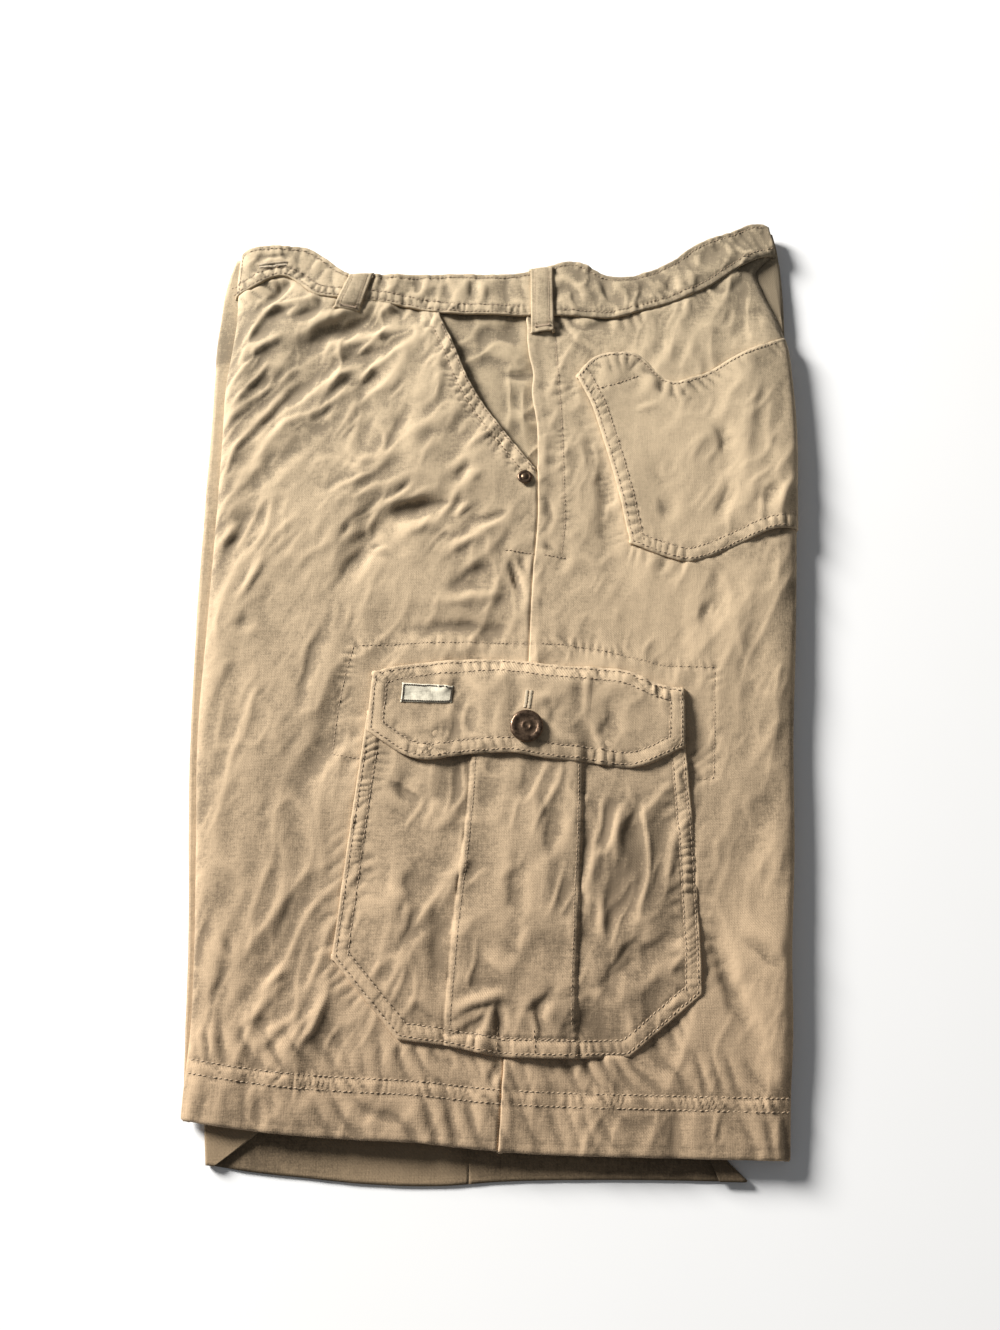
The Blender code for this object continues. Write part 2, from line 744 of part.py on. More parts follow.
def hidden_layers(collection, look):
    """Rounded solid for the layers that are folded away: flat below, its edges a lip for each layer."""
    columns, rows = 22, 34
    share = np.linspace(0, 1, columns)

    def outline(front, back, inset, low, high):
        left = fold_edge(front, np.linspace(low(0)[1], high(0)[1], rows)) + np.array([inset, 0.0])
        right = fold_edge(back, np.linspace(low(1)[1], high(1)[1], rows)) - np.array([inset, 0.0])
        bottom = np.array([low(s) for s in share])
        top = np.array([high(s) for s in share])
        bottom[0], bottom[-1], top[0], top[-1] = left[0], right[0], left[-1], right[-1]
        return patch(left, right, bottom, top)

    def under_low(s):
        x = UNDER_LINE[0][0] + (UNDER_LINE[1][0] - UNDER_LINE[0][0]) * s
        return x, under_line(x)

    def under_high(s):
        x = -194 + 393 * s
        return x, float(y_of(WAIST_TOP, x)) - 2.0

    def upper_low(s):
        x = -178 + CORE_INSET + (336 - 2 * CORE_INSET) * s
        return x, float(y_of(HEM, x)) + 9.0

    def upper_high(s):
        x = -190 + CORE_INSET + (384 - 2 * CORE_INSET) * s
        return x, float(y_of(WAIST_TOP, x)) - 3.0

    under = outline("under_front", "under_back", 0.0, under_low, under_high)
    upper = outline("front", "back", CORE_INSET, upper_low, upper_high)
    x, y = upper[..., 0], upper[..., 1]
    edge = np.minimum(x - edge_at("front", y), edge_at("back", y) - x)
    mouth = ease((x - x_of(POCKET_MOUTH, y) + 20) / 12) * ease((x_of(SIDE_SEAM, y) + 20 - x) / 12)
    mouth = mouth * ease((y - 92) / 12)
    drop = CORE_DROP + CORE_EDGE_DROP * (1 - ease(edge / FOLD_REACH)) + POCKET_MOUTH_DROP * mouth
    z = top_height(x, y) - drop
    bm = grid_mesh(np.concatenate([upper, z[..., None]], axis=-1))
    key = bm.verts.layers.int.new("place")
    bm.verts.ensure_lookup_table()
    for vertex in bm.verts:
        near = np.hypot(x - vertex.co.x, y - vertex.co.y)
        vertex[key] = int(near.argmin())
    flat_upper = upper.reshape(-1, 2)
    flat_under = under.reshape(-1, 2)
    middle = np.array([0.0, 0.0])
    g = LIP_GROOVE
    rings = (
        (flat_upper, 0.0, UNDER_LEG_TOP + 0.9),
        (flat_upper, g, UNDER_LEG_TOP + 0.2),
        (flat_under, g, UNDER_LEG_TOP - 0.1),
        (flat_under, 0.3, 4.6),
        (flat_under, g, 3.1),
        (flat_under, 0.0, 1.6),
        (flat_under, g, 0.0),
    )
    edges = [edge for edge in bm.edges if edge.is_boundary]
    for outline_points, inset, height in rings:
        made = bmesh.ops.extrude_edge_only(bm, edges=edges)["geom"]
        edges = [part for part in made if isinstance(part, bmesh.types.BMEdge)]
        for vertex in (part for part in made if isinstance(part, bmesh.types.BMVert)):
            at = outline_points[vertex[key]]
            inwards = middle - at
            reach = np.abs(inwards) / np.array([200.0, 300.0])
            way = np.sign(inwards) * (reach > 0.85 * reach.max())
            vertex.co = (*(at + way * inset), height)
    bmesh.ops.contextual_create(bm, geom=edges)
    bmesh.ops.recalc_face_normals(bm, faces=bm.faces)
    return add_object("hidden_layers", bm, collection, look)


def main():
    for old in list(bpy.data.objects):
        bpy.data.objects.remove(old, do_unlink=True)
    parts = bpy.data.collections.new("cargo_shorts")
    bpy.context.scene.collection.children.link(parts)

    twill = material("khaki_twill", (0.50, 0.38, 0.25), 0.9)
    pocketing = material("pocket_twill", (0.46, 0.35, 0.22), 0.9)
    inside = material("twill_wrong_side", (0.36, 0.27, 0.17), 0.95)
    woven = material("cream_tape", (0.80, 0.72, 0.55), 0.8)
    bronze = material("aged_bronze", (0.16, 0.10, 0.06), 0.45, 0.9)

    hidden_layers(parts, twill)
    under_hem("under_front_hem", UNDER_FRONT_END, -1, parts, inside)
    under_hem("under_back_hem", UNDER_BACK_END, 1, parts, inside)
    front_panel(parts, twill)
    back_panel(parts, twill)
    pocket_facing(parts, pocketing)
    waistband(parts, twill)
    belt_loop("belt_loop_front", FRONT_LOOP, parts, twill)
    belt_loop("belt_loop_side", SIDE_LOOP, parts, twill)
    back_pocket(parts, twill)
    cargo_pocket(parts, twill)
    cargo_flap(parts, twill)
    label(parts, woven)
    tack_button(parts, bronze)
    rivet(parts, bronze)


main()
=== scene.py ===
"""Men's cargo shorts, folded lengthwise and laid flat: the finished cloth, stitching and trims.

The tables are in millimetres and the scene is in metres. +X runs from the front fold to the back
fold, +Y from the hems to the waist, and Z = 0 is the surface that the shorts lie on. The leg's
outline, its rounded folds and the places of its pockets are the same as in the solid model.
"""

import math

import bmesh
import bpy
import numpy as np
from mathutils import Matrix, Vector


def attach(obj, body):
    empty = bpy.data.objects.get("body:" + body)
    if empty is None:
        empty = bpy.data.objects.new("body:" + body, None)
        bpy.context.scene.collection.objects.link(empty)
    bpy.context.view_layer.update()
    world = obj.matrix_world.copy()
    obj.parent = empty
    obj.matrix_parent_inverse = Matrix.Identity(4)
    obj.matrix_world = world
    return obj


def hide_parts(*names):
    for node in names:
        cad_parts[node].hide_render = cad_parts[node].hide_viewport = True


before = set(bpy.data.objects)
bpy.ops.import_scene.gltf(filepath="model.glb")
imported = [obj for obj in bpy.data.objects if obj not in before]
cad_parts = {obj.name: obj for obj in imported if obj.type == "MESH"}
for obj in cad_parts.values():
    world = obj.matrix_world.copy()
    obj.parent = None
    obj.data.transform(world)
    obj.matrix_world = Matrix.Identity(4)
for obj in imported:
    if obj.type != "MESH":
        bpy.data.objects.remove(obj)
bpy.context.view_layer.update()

MM = 0.001

# Cloth walls, gaps and rolled edges
CLOTH = 1.0
LAY = 0.4
PANEL_ROLL = 1.3
LAP_ROLL = 1.0
BAND_ROLL = 1.0
POCKET_ROLL = 0.8
FLAP_ROLL = 0.9
LOOP_ROLL = 0.7
LABEL_ROLL = 0.25
SEAM_LAP = 0.5
SEAM_UNDERLAP = 4.0
PANEL_UNDER_BAND = 3.5
LABEL_WALL = 0.4

# How far each piece lies out from the leg, and the gap under the metal trims
BAND_LIFT = 1.2
LOOP_LIFT = 1.6
LOOP_FOOT_OUT = LAY + LOOP_LIFT + 0.5
POCKET_OUT = 1.2
FLAP_OUT = LAY + 1.6
HOLE_OUT = LAY + 1.8
LABEL_OUT = LAY + 2.3
BORDER_OUT = LAY + 2.4
TRIM_GAP = 0.1

# The stack of folded layers, with the rings of its upper fold: inset, share of the way down
UNDER_LEG_TOP = 6.0
EDGE_HEIGHT = 7.4
FOLD_REACH = 16.0
FOLD_SLACK = 0.5
UPPER_RINGS = ((-1.0, 0.25), (-1.2, 0.55), (-0.4, 0.85), (1.2, 1.0))
LAYER_HALF_SIZE = np.array([200.0, 300.0])

# Trims
BUTTON_AT = (13.0, -68.0)
BUTTON_RADIUS = 10.0
BUTTON_HEIGHT = 3.2
RIVET_AT = (13.5, 106.0)
RIVET_RADIUS = 5.0
RIVET_HEIGHT = 1.7

# Profiles of the trims from the middle outwards: share of the radius, and depth below the top
BUTTON_FACE = (
    (0.0, 0.55),
    (0.16, 0.55),
    (0.2, 0.3),
    (0.28, 0.3),
    (0.32, 0.6),
    (0.6, 0.6),
    (0.66, 0.35),
    (0.72, 0.1),
    (0.79, 0.0),
    (0.87, 0.05),
    (0.95, 0.35),
    (1.0, 0.95),
    (0.99, 2.0),
    (0.94, 2.7),
    (0.8, 3.2),
    (0.0, 3.2),
)
RIVET_FACE = (
    (0.0, 0.0),
    (0.22, 0.05),
    (0.34, 0.3),
    (0.42, 0.75),
    (0.55, 0.8),
    (0.68, 0.5),
    (0.84, 0.55),
    (0.96, 0.95),
    (1.0, 1.3),
    (0.96, 1.7),
    (0.0, 1.7),
)

# Pocket, pleat, flap and hem relief
POCKET_PUFF = 2.2
POCKET_SHOULDER = 50.0
POCKET_FOOT = -256.0
PLEAT_RISE = 1.9
PLEAT_SHOULDER = 1.8
UNDER_HEM_OPEN = 1.5
FLAP_SINK = 14.0
FLAP_REACH = 7.0
FACING_DROP = 2.4
HOLLOW_DEPTH = 4.0
HOLLOW_FLOOR = 3.6

# Stitches: plain ones, close ones, satin stitch across its line, and the border of the label
STITCH_PITCH = 3.0
STITCH_LENGTH = 2.3
STITCH_RADIUS = 0.42
STITCH_SLANT = 0.22
PLAIN = {}
TIGHT = {"pitch": 2.5, "length": 2.0, "radius": 0.3}
SATIN = {"pitch": 0.75, "length": 2.2, "radius": 0.38, "slant": 0.0, "turn": math.pi / 2}
BORDER = {"pitch": 1.4, "length": 1.5, "radius": 0.42, "slant": 0.05}

# How far the rows of stitches lie inside their edges
HEM_ROWS = (24.5, 31.5)
HEM_FOLD_GHOST = 6.0
EDGE_ROW = 2.2
INNER_ROW = 8.8
BAND_ROWS_FRONT = (2.4, 8.4)
BAND_ROW_BACK = 5.0
BAND_TOP_ROW = -3.5
PLEAT_ROW = 2.0
LOOP_ROW = 3.2
LOOP_END = 0.06
LABEL_ROW = 0.9
FLAP_HOLE_SIDES = (-1.2, 1.2)
WAIST_HOLE_SIDES = (-1.3, 1.3)

# Strength of the creases and of the drawn-up cloth beside stitches
CREASE_DEPTH = 1.3
CREASE_SPREAD = 0.7
GENTLE_SIDE = 1.5
SWELL = 0.55
PUCKER_DEPTH = 1.6

# Mesh spacing across and up each piece, or its number of rows
PANEL_ACROSS = 1.35
PANEL_UP = 1.8
BAND_ACROSS = 1.5
BAND_ROWS = 30
LOOP_MESH = 1.1
LABEL_MESH = 0.9
BACK_POCKET_SHARE = 0.0115
BACK_POCKET_UP = 1.7
CARGO_ACROSS = 1.05
CARGO_ROWS = 146
FLAP_SHARE = 0.0072
FLAP_ROWS = 40
UNDER_HEM_COLUMNS = 84
UNDER_HEM_ROWS = 20
TURNED_COLUMNS = 16
LAYER_COLUMNS = 120
LAYER_ROWS = 190
BUTTON_STEPS = 48
RIVET_STEPS = 36

# Studio, in metres and watts: one soft light low from the upper left, a weak fill, and the camera
FLOOR_REACH = 2.0
KEY_FROM = (-0.72, 0.51, 0.38)
KEY_DISTANCE = 4.0
KEY_SIZE = 1.3
KEY_POWER = 425.0
FILL = 0.15
CAMERA_AT = (-0.003, -0.2362, 0.6253)
CAMERA_TILT = 19.0
CAMERA_LENS = 28.0
CAMERA_SENSOR = 36.0


def table(names, rows):
    """Named columns of a short table, as arrays."""
    return dict(zip(names.split(), np.array(rows, float).T))


# Edges of the folded leg at levels up its length: the layers below and the two folds of the top leg
EDGES = table(
    "y under_front front back under_back",
    (
        (-310, -170, -179, 155, 142),
        (-277, -178, -179, 158, 150),
        (-246, -181, -178, 162, 157),
        (-197, -184, -180, 166, 161),
        (-145, -189, -184, 172, 167),
        (-72, -195, -190, 178, 173),
        (8, -199, -191, 187, 182),
        (95, -201, -192, 195, 191),
        (141, -202, -193, 199, 195),
        (187, -203, -194, 200, 197),
        (214, -204, -192, 199, 199),
        (239, -203, -191, 193, 201),
        (262, -202, -192, 185, 202),
        (280, -199, -192, 183, 202),
        (287, -197, -192, 189, 202),
        (294, -195, -191, 197, 201),
        (320, -193, -190, 197, 198),
    ),
)

# Lower edge of the waistband, where the panels are sewn to it
WAIST_SEAM = table(
    "x y",
    (
        (-196, 254),
        (-176, 263),
        (-167, 269),
        (-156, 270),
        (-147, 264),
        (-137, 255),
        (-126, 252),
        (-93, 250),
        (-70, 245),
        (-42, 239),
        (0, 237),
        (50, 236),
        (83, 235),
        (97, 240),
        (122, 249),
        (147, 262),
        (170, 279),
        (187, 289),
        (200, 293),
    ),
)

# Upper edge of the waistband
WAIST_TOP = table(
    "x y",
    (
        (-196, 290),
        (-184, 296),
        (-160, 298),
        (-142, 296),
        (-126, 284),
        (-115, 275),
        (-95, 273),
        (-39, 273),
        (10, 274),
        (34, 280),
        (48, 284),
        (60, 280),
        (72, 272),
        (88, 270),
        (104, 275),
        (121, 284),
        (134, 295),
        (150, 304),
        (167, 311),
        (180, 318),
        (190, 319),
        (200, 314),
    ),
)

# Hem of the top leg and hem of the leg below it
HEM = table(
    "x y",
    (
        (-182, -287),
        (-140, -293),
        (-91, -297),
        (-49, -299),
        (-21, -302),
        (30, -305),
        (69, -306),
        (111, -307),
        (158, -308),
    ),
)
UNDER_HEM = table(
    "x y",
    (
        (-166, -310),
        (-140, -314),
        (-110, -317),
        (-77, -320),
        (-35, -321),
        (-4, -319),
        (56, -318),
        (134, -319),
    ),
)
UNDER_LINE = ((-176.0, -282.0), (150.0, -298.0))
UNDER_SEAM_X = -20.0

# Fold at each end of the under hem and the width of cloth turned over on it, from hem to line
UNDER_FRONT_END = table("v fold turned", ((0, -164, 3), (0.5, -166, 26), (1, -168, 46)))
UNDER_BACK_END = table("v fold turned", ((0, 132, 14), (0.5, 117, 5), (1, 103, 4)))

# Tone across the inside of the under hem, darkened at its ends as painted shade inside the open
# leg, and of the cloth turned over at its folds: lighter at the front fold, painted shade at the
# tip of the back fold
UNDER_SHADE_TONES = table(
    "x wear",
    (
        (-170, 0.05),
        (-130, 0.2),
        (-85, 0.7),
        (-35, 0.75),
        (-20, 0.35),
        (60, 0.25),
        (150, 0.0),
    ),
)
UNDER_TURNED_TONE = 0.95
UNDER_TIP_SHADE = 0.1

# Side seam from the hem to the waist: above the pocket mouth it is the edge beside the facing
SIDE_SEAM = table(
    "y x",
    (
        (-303, -4),
        (-255, -1),
        (-150, 6),
        (-60, 13),
        (-20, 15),
        (34, 18),
        (81, 22),
        (112, 22),
        (147, 22),
        (175, 19),
        (187, 20),
        (206, 17),
        (237, 16),
    ),
)
POCKET_MOUTH = table(
    "y x",
    (
        (112, 22),
        (134, 6),
        (162, -13),
        (180, -23),
        (215, -36),
        (239, -46),
    ),
)

# Patch pocket on the back panel
BACK_POCKET_TOP = table(
    "x y",
    (
        (50, 186),
        (58, 197),
        (78, 205),
        (95, 202),
        (103, 193),
        (111, 184),
        (135, 187),
        (161, 202),
        (200, 221),
    ),
)
BACK_POCKET_BOTTOM = table(
    "x y",
    (
        (82, 58),
        (103, 49),
        (117, 45),
        (139, 51),
        (158, 60),
        (176, 68),
        (200, 70),
    ),
)
BACK_POCKET_SIDE = table("y x", ((58, 82), (109, 73), (135, 67), (164, 59), (186, 50)))

# Bellows pocket on the side seam and its flap
CARGO_LEFT = table("y x", ((-202, -99), (-182, -97), (-150, -94), (-111, -90), (-56, -84)))
CARGO_RIGHT = table("y x", ((-222, 111), (-186, 112), (-149, 112), (-111, 111), (-62, 109)))
CARGO_BOTTOM = table(
    "x y",
    (
        (-99, -202),
        (-60, -246),
        (-33, -249),
        (-3, -255),
        (39, -256),
        (69, -255),
        (111, -222),
    ),
)
CARGO_TOP = table("x y", ((-84, -56), (-20, -50), (50, -52), (109, -62)))
PLEAT_FRONT = table(
    "y x",
    (
        (-256, -33),
        (-241, -33),
        (-199, -30),
        (-156, -26),
        (-111, -21),
        (-50, -19),
    ),
)
PLEAT_BACK = table("y x", ((-256, 39), (-227, 39), (-171, 42), (-123, 45), (-50, 47)))
FLAP_TOP = table(
    "x y",
    (
        (-82, -31),
        (-66, -27),
        (-40, -24),
        (0, -23),
        (34, -27),
        (58, -28),
        (78, -31),
        (95, -39),
        (111, -42),
    ),
)
FLAP_BOTTOM = table(
    "x y",
    (
        (-84, -69),
        (-56, -86),
        (-19, -84),
        (8, -84),
        (25, -87),
        (48, -89),
        (79, -92),
        (109, -79),
    ),
)

# Four corners of each small strip: lower left, lower right, upper right, upper left
FRONT_LOOP = ((-121, 242), (-103, 240), (-94, 272), (-111, 271))
SIDE_LOOP = ((19, 221), (35, 223), (35, 277), (19, 276))
LABEL = ((-64, -51), (-32.6, -52), (-32.2, -41), (-63, -39))

# Height of the top surface up the leg, away from its rounded edges
THICKNESS = table(
    "y z",
    (
        (-310, 8.6),
        (-285, 10.2),
        (-240, 12.0),
        (-120, 13.4),
        (40, 13.8),
        (160, 13.4),
        (230, 12.6),
        (270, 11.6),
        (320, 10.6),
    ),
)

# Largest folds of the cloth: ends, sideways bow, half width, and height (below zero for a trough)
FOLDS = table(
    "x0 y0 x1 y1 bow half_width height",
    (
        (-158, 207, -66, 243, 2, 13, -1.8),
        (-182, 236, -124, 252, 3, 14, 1.6),
        (-186, 192, -134, 226, 6, 14, 1.5),
        (-134, 196, -180, 40, -14, 14, -1.6),
        (-92, 186, -106, 124, 3, 13, -1.2),
        (-68, 156, -84, 108, 2, 13, -1.0),
        (-86, 68, -26, 84, 12, 16, -1.5),
        (-86, 76, -112, 20, 2, 13, -1.1),
        (-110, 18, -126, -48, 2, 15, 1.3),
        (-68, 3, 12, -4, 0, 14, -1.3),
        (-42, 45, 2, 27, 0, 14, -1.1),
        (58, 143, 76, 46, 2, 13, -1.1),
        (148, 190, 147, 120, 0, 14, -1.2),
        (114, -175, 142, -256, 3, 14, -1.5),
        (-108, -228, -120, -262, 0, 13, 1.3),
        (-150, -60, -160, -170, 5, 18, 1.0),
    ),
)
FOLD_STEPS = 6

# Creases pressed or slept into each piece: ends, sideways bow, width, how much steeper the side to
# the left of their direction is, and height (below zero for a trough)
CREASE_COLUMNS = "x0 y0 x1 y1 bow width lean height"
LEG_CREASES = table(
    CREASE_COLUMNS,
    (
        # the fan below the front of the waistband
        (-150, 209, -73, 241, 3, 7, 0.3, -1.5),
        (-91, 246, -149, 217, -3, 6, 0.3, 1.2),
        (-186, 194, -152, 218, -1, 7, 0.2, -0.7),
        (-148, 224, -188, 196, 0, 5, 0.4, 1.2),
        (-172, 233, -141, 245, 2, 5, 0.3, -1.1),
        (-126, 248, -168, 238, 2, 5, 0.3, 1.1),
        (-173, 248, -150, 266, 0, 8, 0.2, -1.6),
        (-124, 196, -76, 216, -1, 6, 0.3, -1.0),
        (-57, 230, -127, 206, -1, 4, 0.4, 1.1),
        (-101, 190, -90, 208, 0, 6, 0.3, -1.0),
        (-99, 201, -135, 157, -3, 5, 0.3, 1.3),
        (-107, 138, -98, 180, -3, 7, 0.4, -1.1),
        (-108, 179, -91, 184, 0, 4, 0.3, -0.7),
        (-186, 124, -137, 189, -3, 7, 0.3, -1.1),
        (-141, 192, -184, 134, 3, 5, 0.3, 1.0),
        (-183, 172, -166, 184, 0, 4, 0.3, -0.8),
        # the thigh
        (-188, 84, -131, 143, 0, 9, 0.2, -1.1),
        (-188, 24, -158, 112, 0, 10, 0.2, -0.9),
        (-172, 80, -190, 50, 0, 5, 0.3, 1.2),
        (-83, 119, -66, 167, -1, 5, 0.4, -1.0),
        (-77, 90, -61, 108, 0, 2.5, 0.3, -0.9),
        (-36, 100, -21, 123, 0, 4, 0.3, -0.7),
        (-84, 70, -24, 86, 11, 8, 0.4, -2.0),
        (-35, 76, -72, 55, -6, 8, 0.2, 1.0),
        (-112, 20, -77, 77, 2, 6, 0.3, -1.2),
        (-26, 78, 6, 82, -2, 4, 0.3, -1.1),
        (-20, 90, -34, 76, 0, 3, 0.4, 1.2),
        (-10, 66, -44, 46, -2, 5, 0.3, 1.0),
        (-37, 25, 0, 46, 3, 7, 0.3, -1.1),
        (6, 26, -52, 20, 4, 5, 0.2, 1.0),
        (-157, 54, -174, 15, 4, 3, 0.4, 1.0),
        (-130, -56, -111, 20, 0, 6, 0.4, -1.1),
        (-173, -2, -161, 10, 0, 5, 0.3, -0.8),
        (-76, -3, 12, -4, 4, 7, 0.3, -1.2),
        (-111, 55, -91, 84, 3, 3, 0.3, -0.8),
        (-102, 58, -81, 79, -2, 4, 0.3, -0.9),
        (-90, 54, -70, 53, 2, 2.5, 0.2, 0.7),
        (-181, -58, -166, -14, 0, 7, 0.3, -0.9),
        (12, 18, 1, 50, 0, 2, 0.3, -0.8),
        # low on the front
        (-99, -206, -124, -262, 6, 4, 0.4, 1.3),
        (-116, -200, -160, -252, 2, 5, 0.3, 0.9),
        (-178, -230, -168, -170, 3, 5, 0.3, -0.8),
        (-106, -229, -121, -259, -4, 4, 0.4, 1.2),
        (-115, -227, -143, -254, 2, 4, 0.4, 1.0),
        (-117, -202, -146, -223, 2, 4, 0.4, 0.9),
        (-167, -243, -156, -197, 2, 5, 0.2, -0.9),
        (-160, -190, -156, -202, 0, 2.5, 0.2, -0.7),
        (-11, -271, -4, -256, 0, 3, 0.3, -1.0),
        (-36, 101, -22, 122, 0, 5, 0.2, -0.9),
        (10, 22, 2, 48, 0, 3, 0.3, -1.0),
        (14, 34, 8, 52, 0, 2.5, 0.3, -0.8),
        (24, 60, 36, 50, 0, 3, 0.3, -0.7),
        (26, 96, 34, 70, 0, 4, 0.3, -0.6),
        (170, 236, 190, 247, 0, 6, 0.2, -0.45),
        # the back
        (60, 34, 46, 162, -12, 8, 0.3, -1.3),
        (141, -256, 114, -175, 3, 6, 0.3, -1.3),
        (162, -212, 134, -189, 0, 5, 0.3, -0.9),
        (41, 230, 69, 205, 0, 3, 0.2, 0.6),
        (150, -60, 158, 10, 3, 9, 0.3, -0.8),
        (118, -10, 140, 40, -3, 8, 0.3, -0.8),
    ),
)
BACK_POCKET_CREASES = table(
    CREASE_COLUMNS,
    (
        (150, 118, 139, 152, -2, 6, 0.4, -1.2),
        (106, 70, 104, 95, 0, 6, 0.3, -0.9),
        (135, 72, 152, 108, -2, 5, 0.3, -0.9),
        (160, 83, 184, 108, 0, 6, 0.3, -0.9),
        (119, 165, 94, 203, 2, 6, 0.3, -1.1),
        (109, 166, 86, 157, 2, 3, 0.3, 0.6),
    ),
)
CARGO_CREASES = table(
    CREASE_COLUMNS,
    (
        (-23, -110, -46, -134, 0, 8, 0.3, 1.0),
        (43, -222, 102, -178, -5, 6, 0.3, -1.2),
        (58, -163, 60, -124, 0, 6, 0.3, -0.9),
        (4, -190, 6, -140, 0, 7, 0.3, -1.0),
        (4, -218, -14, -196, -2, 6, 0.3, 0.9),
        (12, -236, 34, -214, 2, 5, 0.3, -1.0),
        (-60, -190, -44, -140, 3, 9, 0.3, -1.0),
        (-36, -231, -36, -157, 3, 7, 0.0, -1.1),
        (-63, -203, -45, -174, 3, 6, 0.3, -1.1),
        (8, -226, -32, -236, -6, 4, 0.5, 1.3),
        (-28, -243, -8, -233, 1, 4, 0.3, -0.9),
        (-5, -250, -4, -224, 0, 3, 0.2, -1.1),
        (20, -248, 16, -222, 0, 4, 0.3, -1.0),
        (31, -158, 24, -96, 2, 6, 0.2, -0.8),
        (8, -120, 16, -88, 0, 6, 0.2, -0.6),
        (56, -214, 78, -190, 2, 5, 0.4, -1.3),
        (70, -150, 82, -100, 2, 7, 0.2, -1.0),
        (-64, -116, -58, -92, 1, 5, 0.2, -0.5),
        (-72, -100, -48, -112, 1, 4, 0.4, -1.1),
    ),
)
FLAP_CREASES = table(
    CREASE_COLUMNS,
    (
        (24, -76, 32, -42, 0, 6, 0.3, -0.9),
        (60, -78, 66, -46, 0, 6, 0.3, -0.8),
        (-6, -78, -2, -44, 0, 6, 0.3, 0.6),
        (-46, -80, -30, -58, 0, 7, 0.3, -0.7),
    ),
)
BAND_CREASES = table(
    CREASE_COLUMNS,
    (
        (50, 243, 47, 265, 0, 4, 0.3, -1.2),
        (80, 243, 67, 273, 2, 6, 0.3, -1.6),
        (100, 246, 98, 268, 0, 4, 0.2, -0.9),
        (120, 252, 114, 276, 0, 4, 0.2, -0.8),
        (140, 266, 132, 290, 0, 4, 0.2, -0.9),
        (160, 282, 152, 302, 0, 4, 0.2, -0.8),
        (-60, 252, -64, 270, 0, 4, 0.2, -1.0),
        (-20, 246, -26, 268, 0, 4, 0.2, -1.0),
        (-40, 248, -44, 268, 0, 4, 0.2, -0.7),
        (-136, 262, -150, 280, 0, 6, 0.3, -1.0),
        (-185, 274, -150, 278, 1, 3, 0.2, -0.7),
        (-185, 287, -150, 289, 1, 3, 0.2, -0.7),
    ),
)

# Patches painted darker (below zero) as painted shade where the cloth turns from the light or lies
# in a hollow, or painted lighter: middle, radius, amount
PAINTED_SHADE_PATCHES = table(
    "x y radius amount",
    (
        (80, -160, 40, -0.42),
        (70, -215, 30, -0.3),
        (-34, -190, 26, -0.16),
        (-60, -120, 26, -0.04),
        (-150, 215, 34, -0.2),
        (-110, 232, 26, -0.18),
        (-120, 150, 30, -0.1),
        (-10, 215, 22, -0.2),
        (160, 295, 44, -0.4),
        (90, 262, 34, -0.3),
        (60, 275, 26, -0.2),
        (90, 288, 50, -0.26),
        (16, -98, 20, -0.16),
        (-20, -296, 30, -0.2),
        (60, -296, 44, -0.22),
        (140, -290, 34, -0.16),
        (-100, -292, 40, -0.12),
        (146, -170, 34, 0.5),
        (135, -240, 30, 0.3),
        (135, 130, 70, 0.45),
        (120, 10, 60, 0.28),
        (-100, 60, 60, 0.14),
        (-20, 150, 40, 0.14),
    ),
)


def smooth(xs, ys, x):
    """Cubic through the rows of a table, with the slope at each row taken from its neighbours."""
    x = np.asarray(x, float)
    slopes = np.gradient(ys, xs)
    at = np.clip(np.searchsorted(xs, x, side="right") - 1, 0, len(xs) - 2)
    span = xs[at + 1] - xs[at]
    t = np.clip((x - xs[at]) / span, 0.0, 1.0)
    start = (1 + 2 * t) * (1 - t) ** 2 * ys[at] + t * (1 - t) ** 2 * span * slopes[at]
    end = t * t * (3 - 2 * t) * ys[at + 1] + t * t * (t - 1) * span * slopes[at + 1]
    return start + end


def edge_at(name, y):
    """x of one of the folded leg's edges at a height."""
    return smooth(EDGES["y"], EDGES[name], y)


def y_of(edge, x):
    """Height of an edge that runs across."""
    return smooth(edge["x"], edge["y"], x)


def x_of(edge, y):
    """x of an edge that runs up."""
    return smooth(edge["y"], edge["x"], y)


def ease(t):
    """0 to 1 with level ends."""
    t = np.clip(t, 0.0, 1.0)
    return t * t * (3 - 2 * t)


def rounded(distance):
    """Quarter round that lifts the cloth from a fold edge to its full height."""
    t = np.clip(distance / FOLD_REACH, 0.0, 1.0)
    return np.sqrt(t * (2 - t))


def bowed_line(creases, row):
    """Points along one crease, bent sideways by its bow."""
    start = np.array([creases["x0"][row], creases["y0"][row]])
    end = np.array([creases["x1"][row], creases["y1"][row]])
    side = np.array([start[1] - end[1], end[0] - start[0]])
    side = side / np.linalg.norm(side)
    t = np.linspace(0, 1, FOLD_STEPS)[:, None]
    return start + (end - start) * t + side * creases["bow"][row] * 4 * t * (1 - t)


def along_line(x, y, line):
    """Signed distance from a line, left side positive, how far along it, and its length."""
    nearest = np.full(np.shape(x), np.inf)
    signed = np.zeros(np.shape(x))
    along = np.zeros(np.shape(x))
    gone = 0.0
    for a, b in zip(line[:-1], line[1:]):
        way = b - a
        length = float(np.hypot(*way))
        t = ((x - a[0]) * way[0] + (y - a[1]) * way[1]) / length**2
        t = np.clip(t, 0.0, 1.0)
        gap = np.hypot(x - a[0] - t * way[0], y - a[1] - t * way[1])
        side = np.where(way[0] * (y - a[1]) - way[1] * (x - a[0]) < 0, -1.0, 1.0)
        closer = gap < nearest
        nearest = np.where(closer, gap, nearest)
        signed = np.where(closer, side * gap, signed)
        along = np.where(closer, gone + t * length, along)
        gone += length
    return signed, along, gone


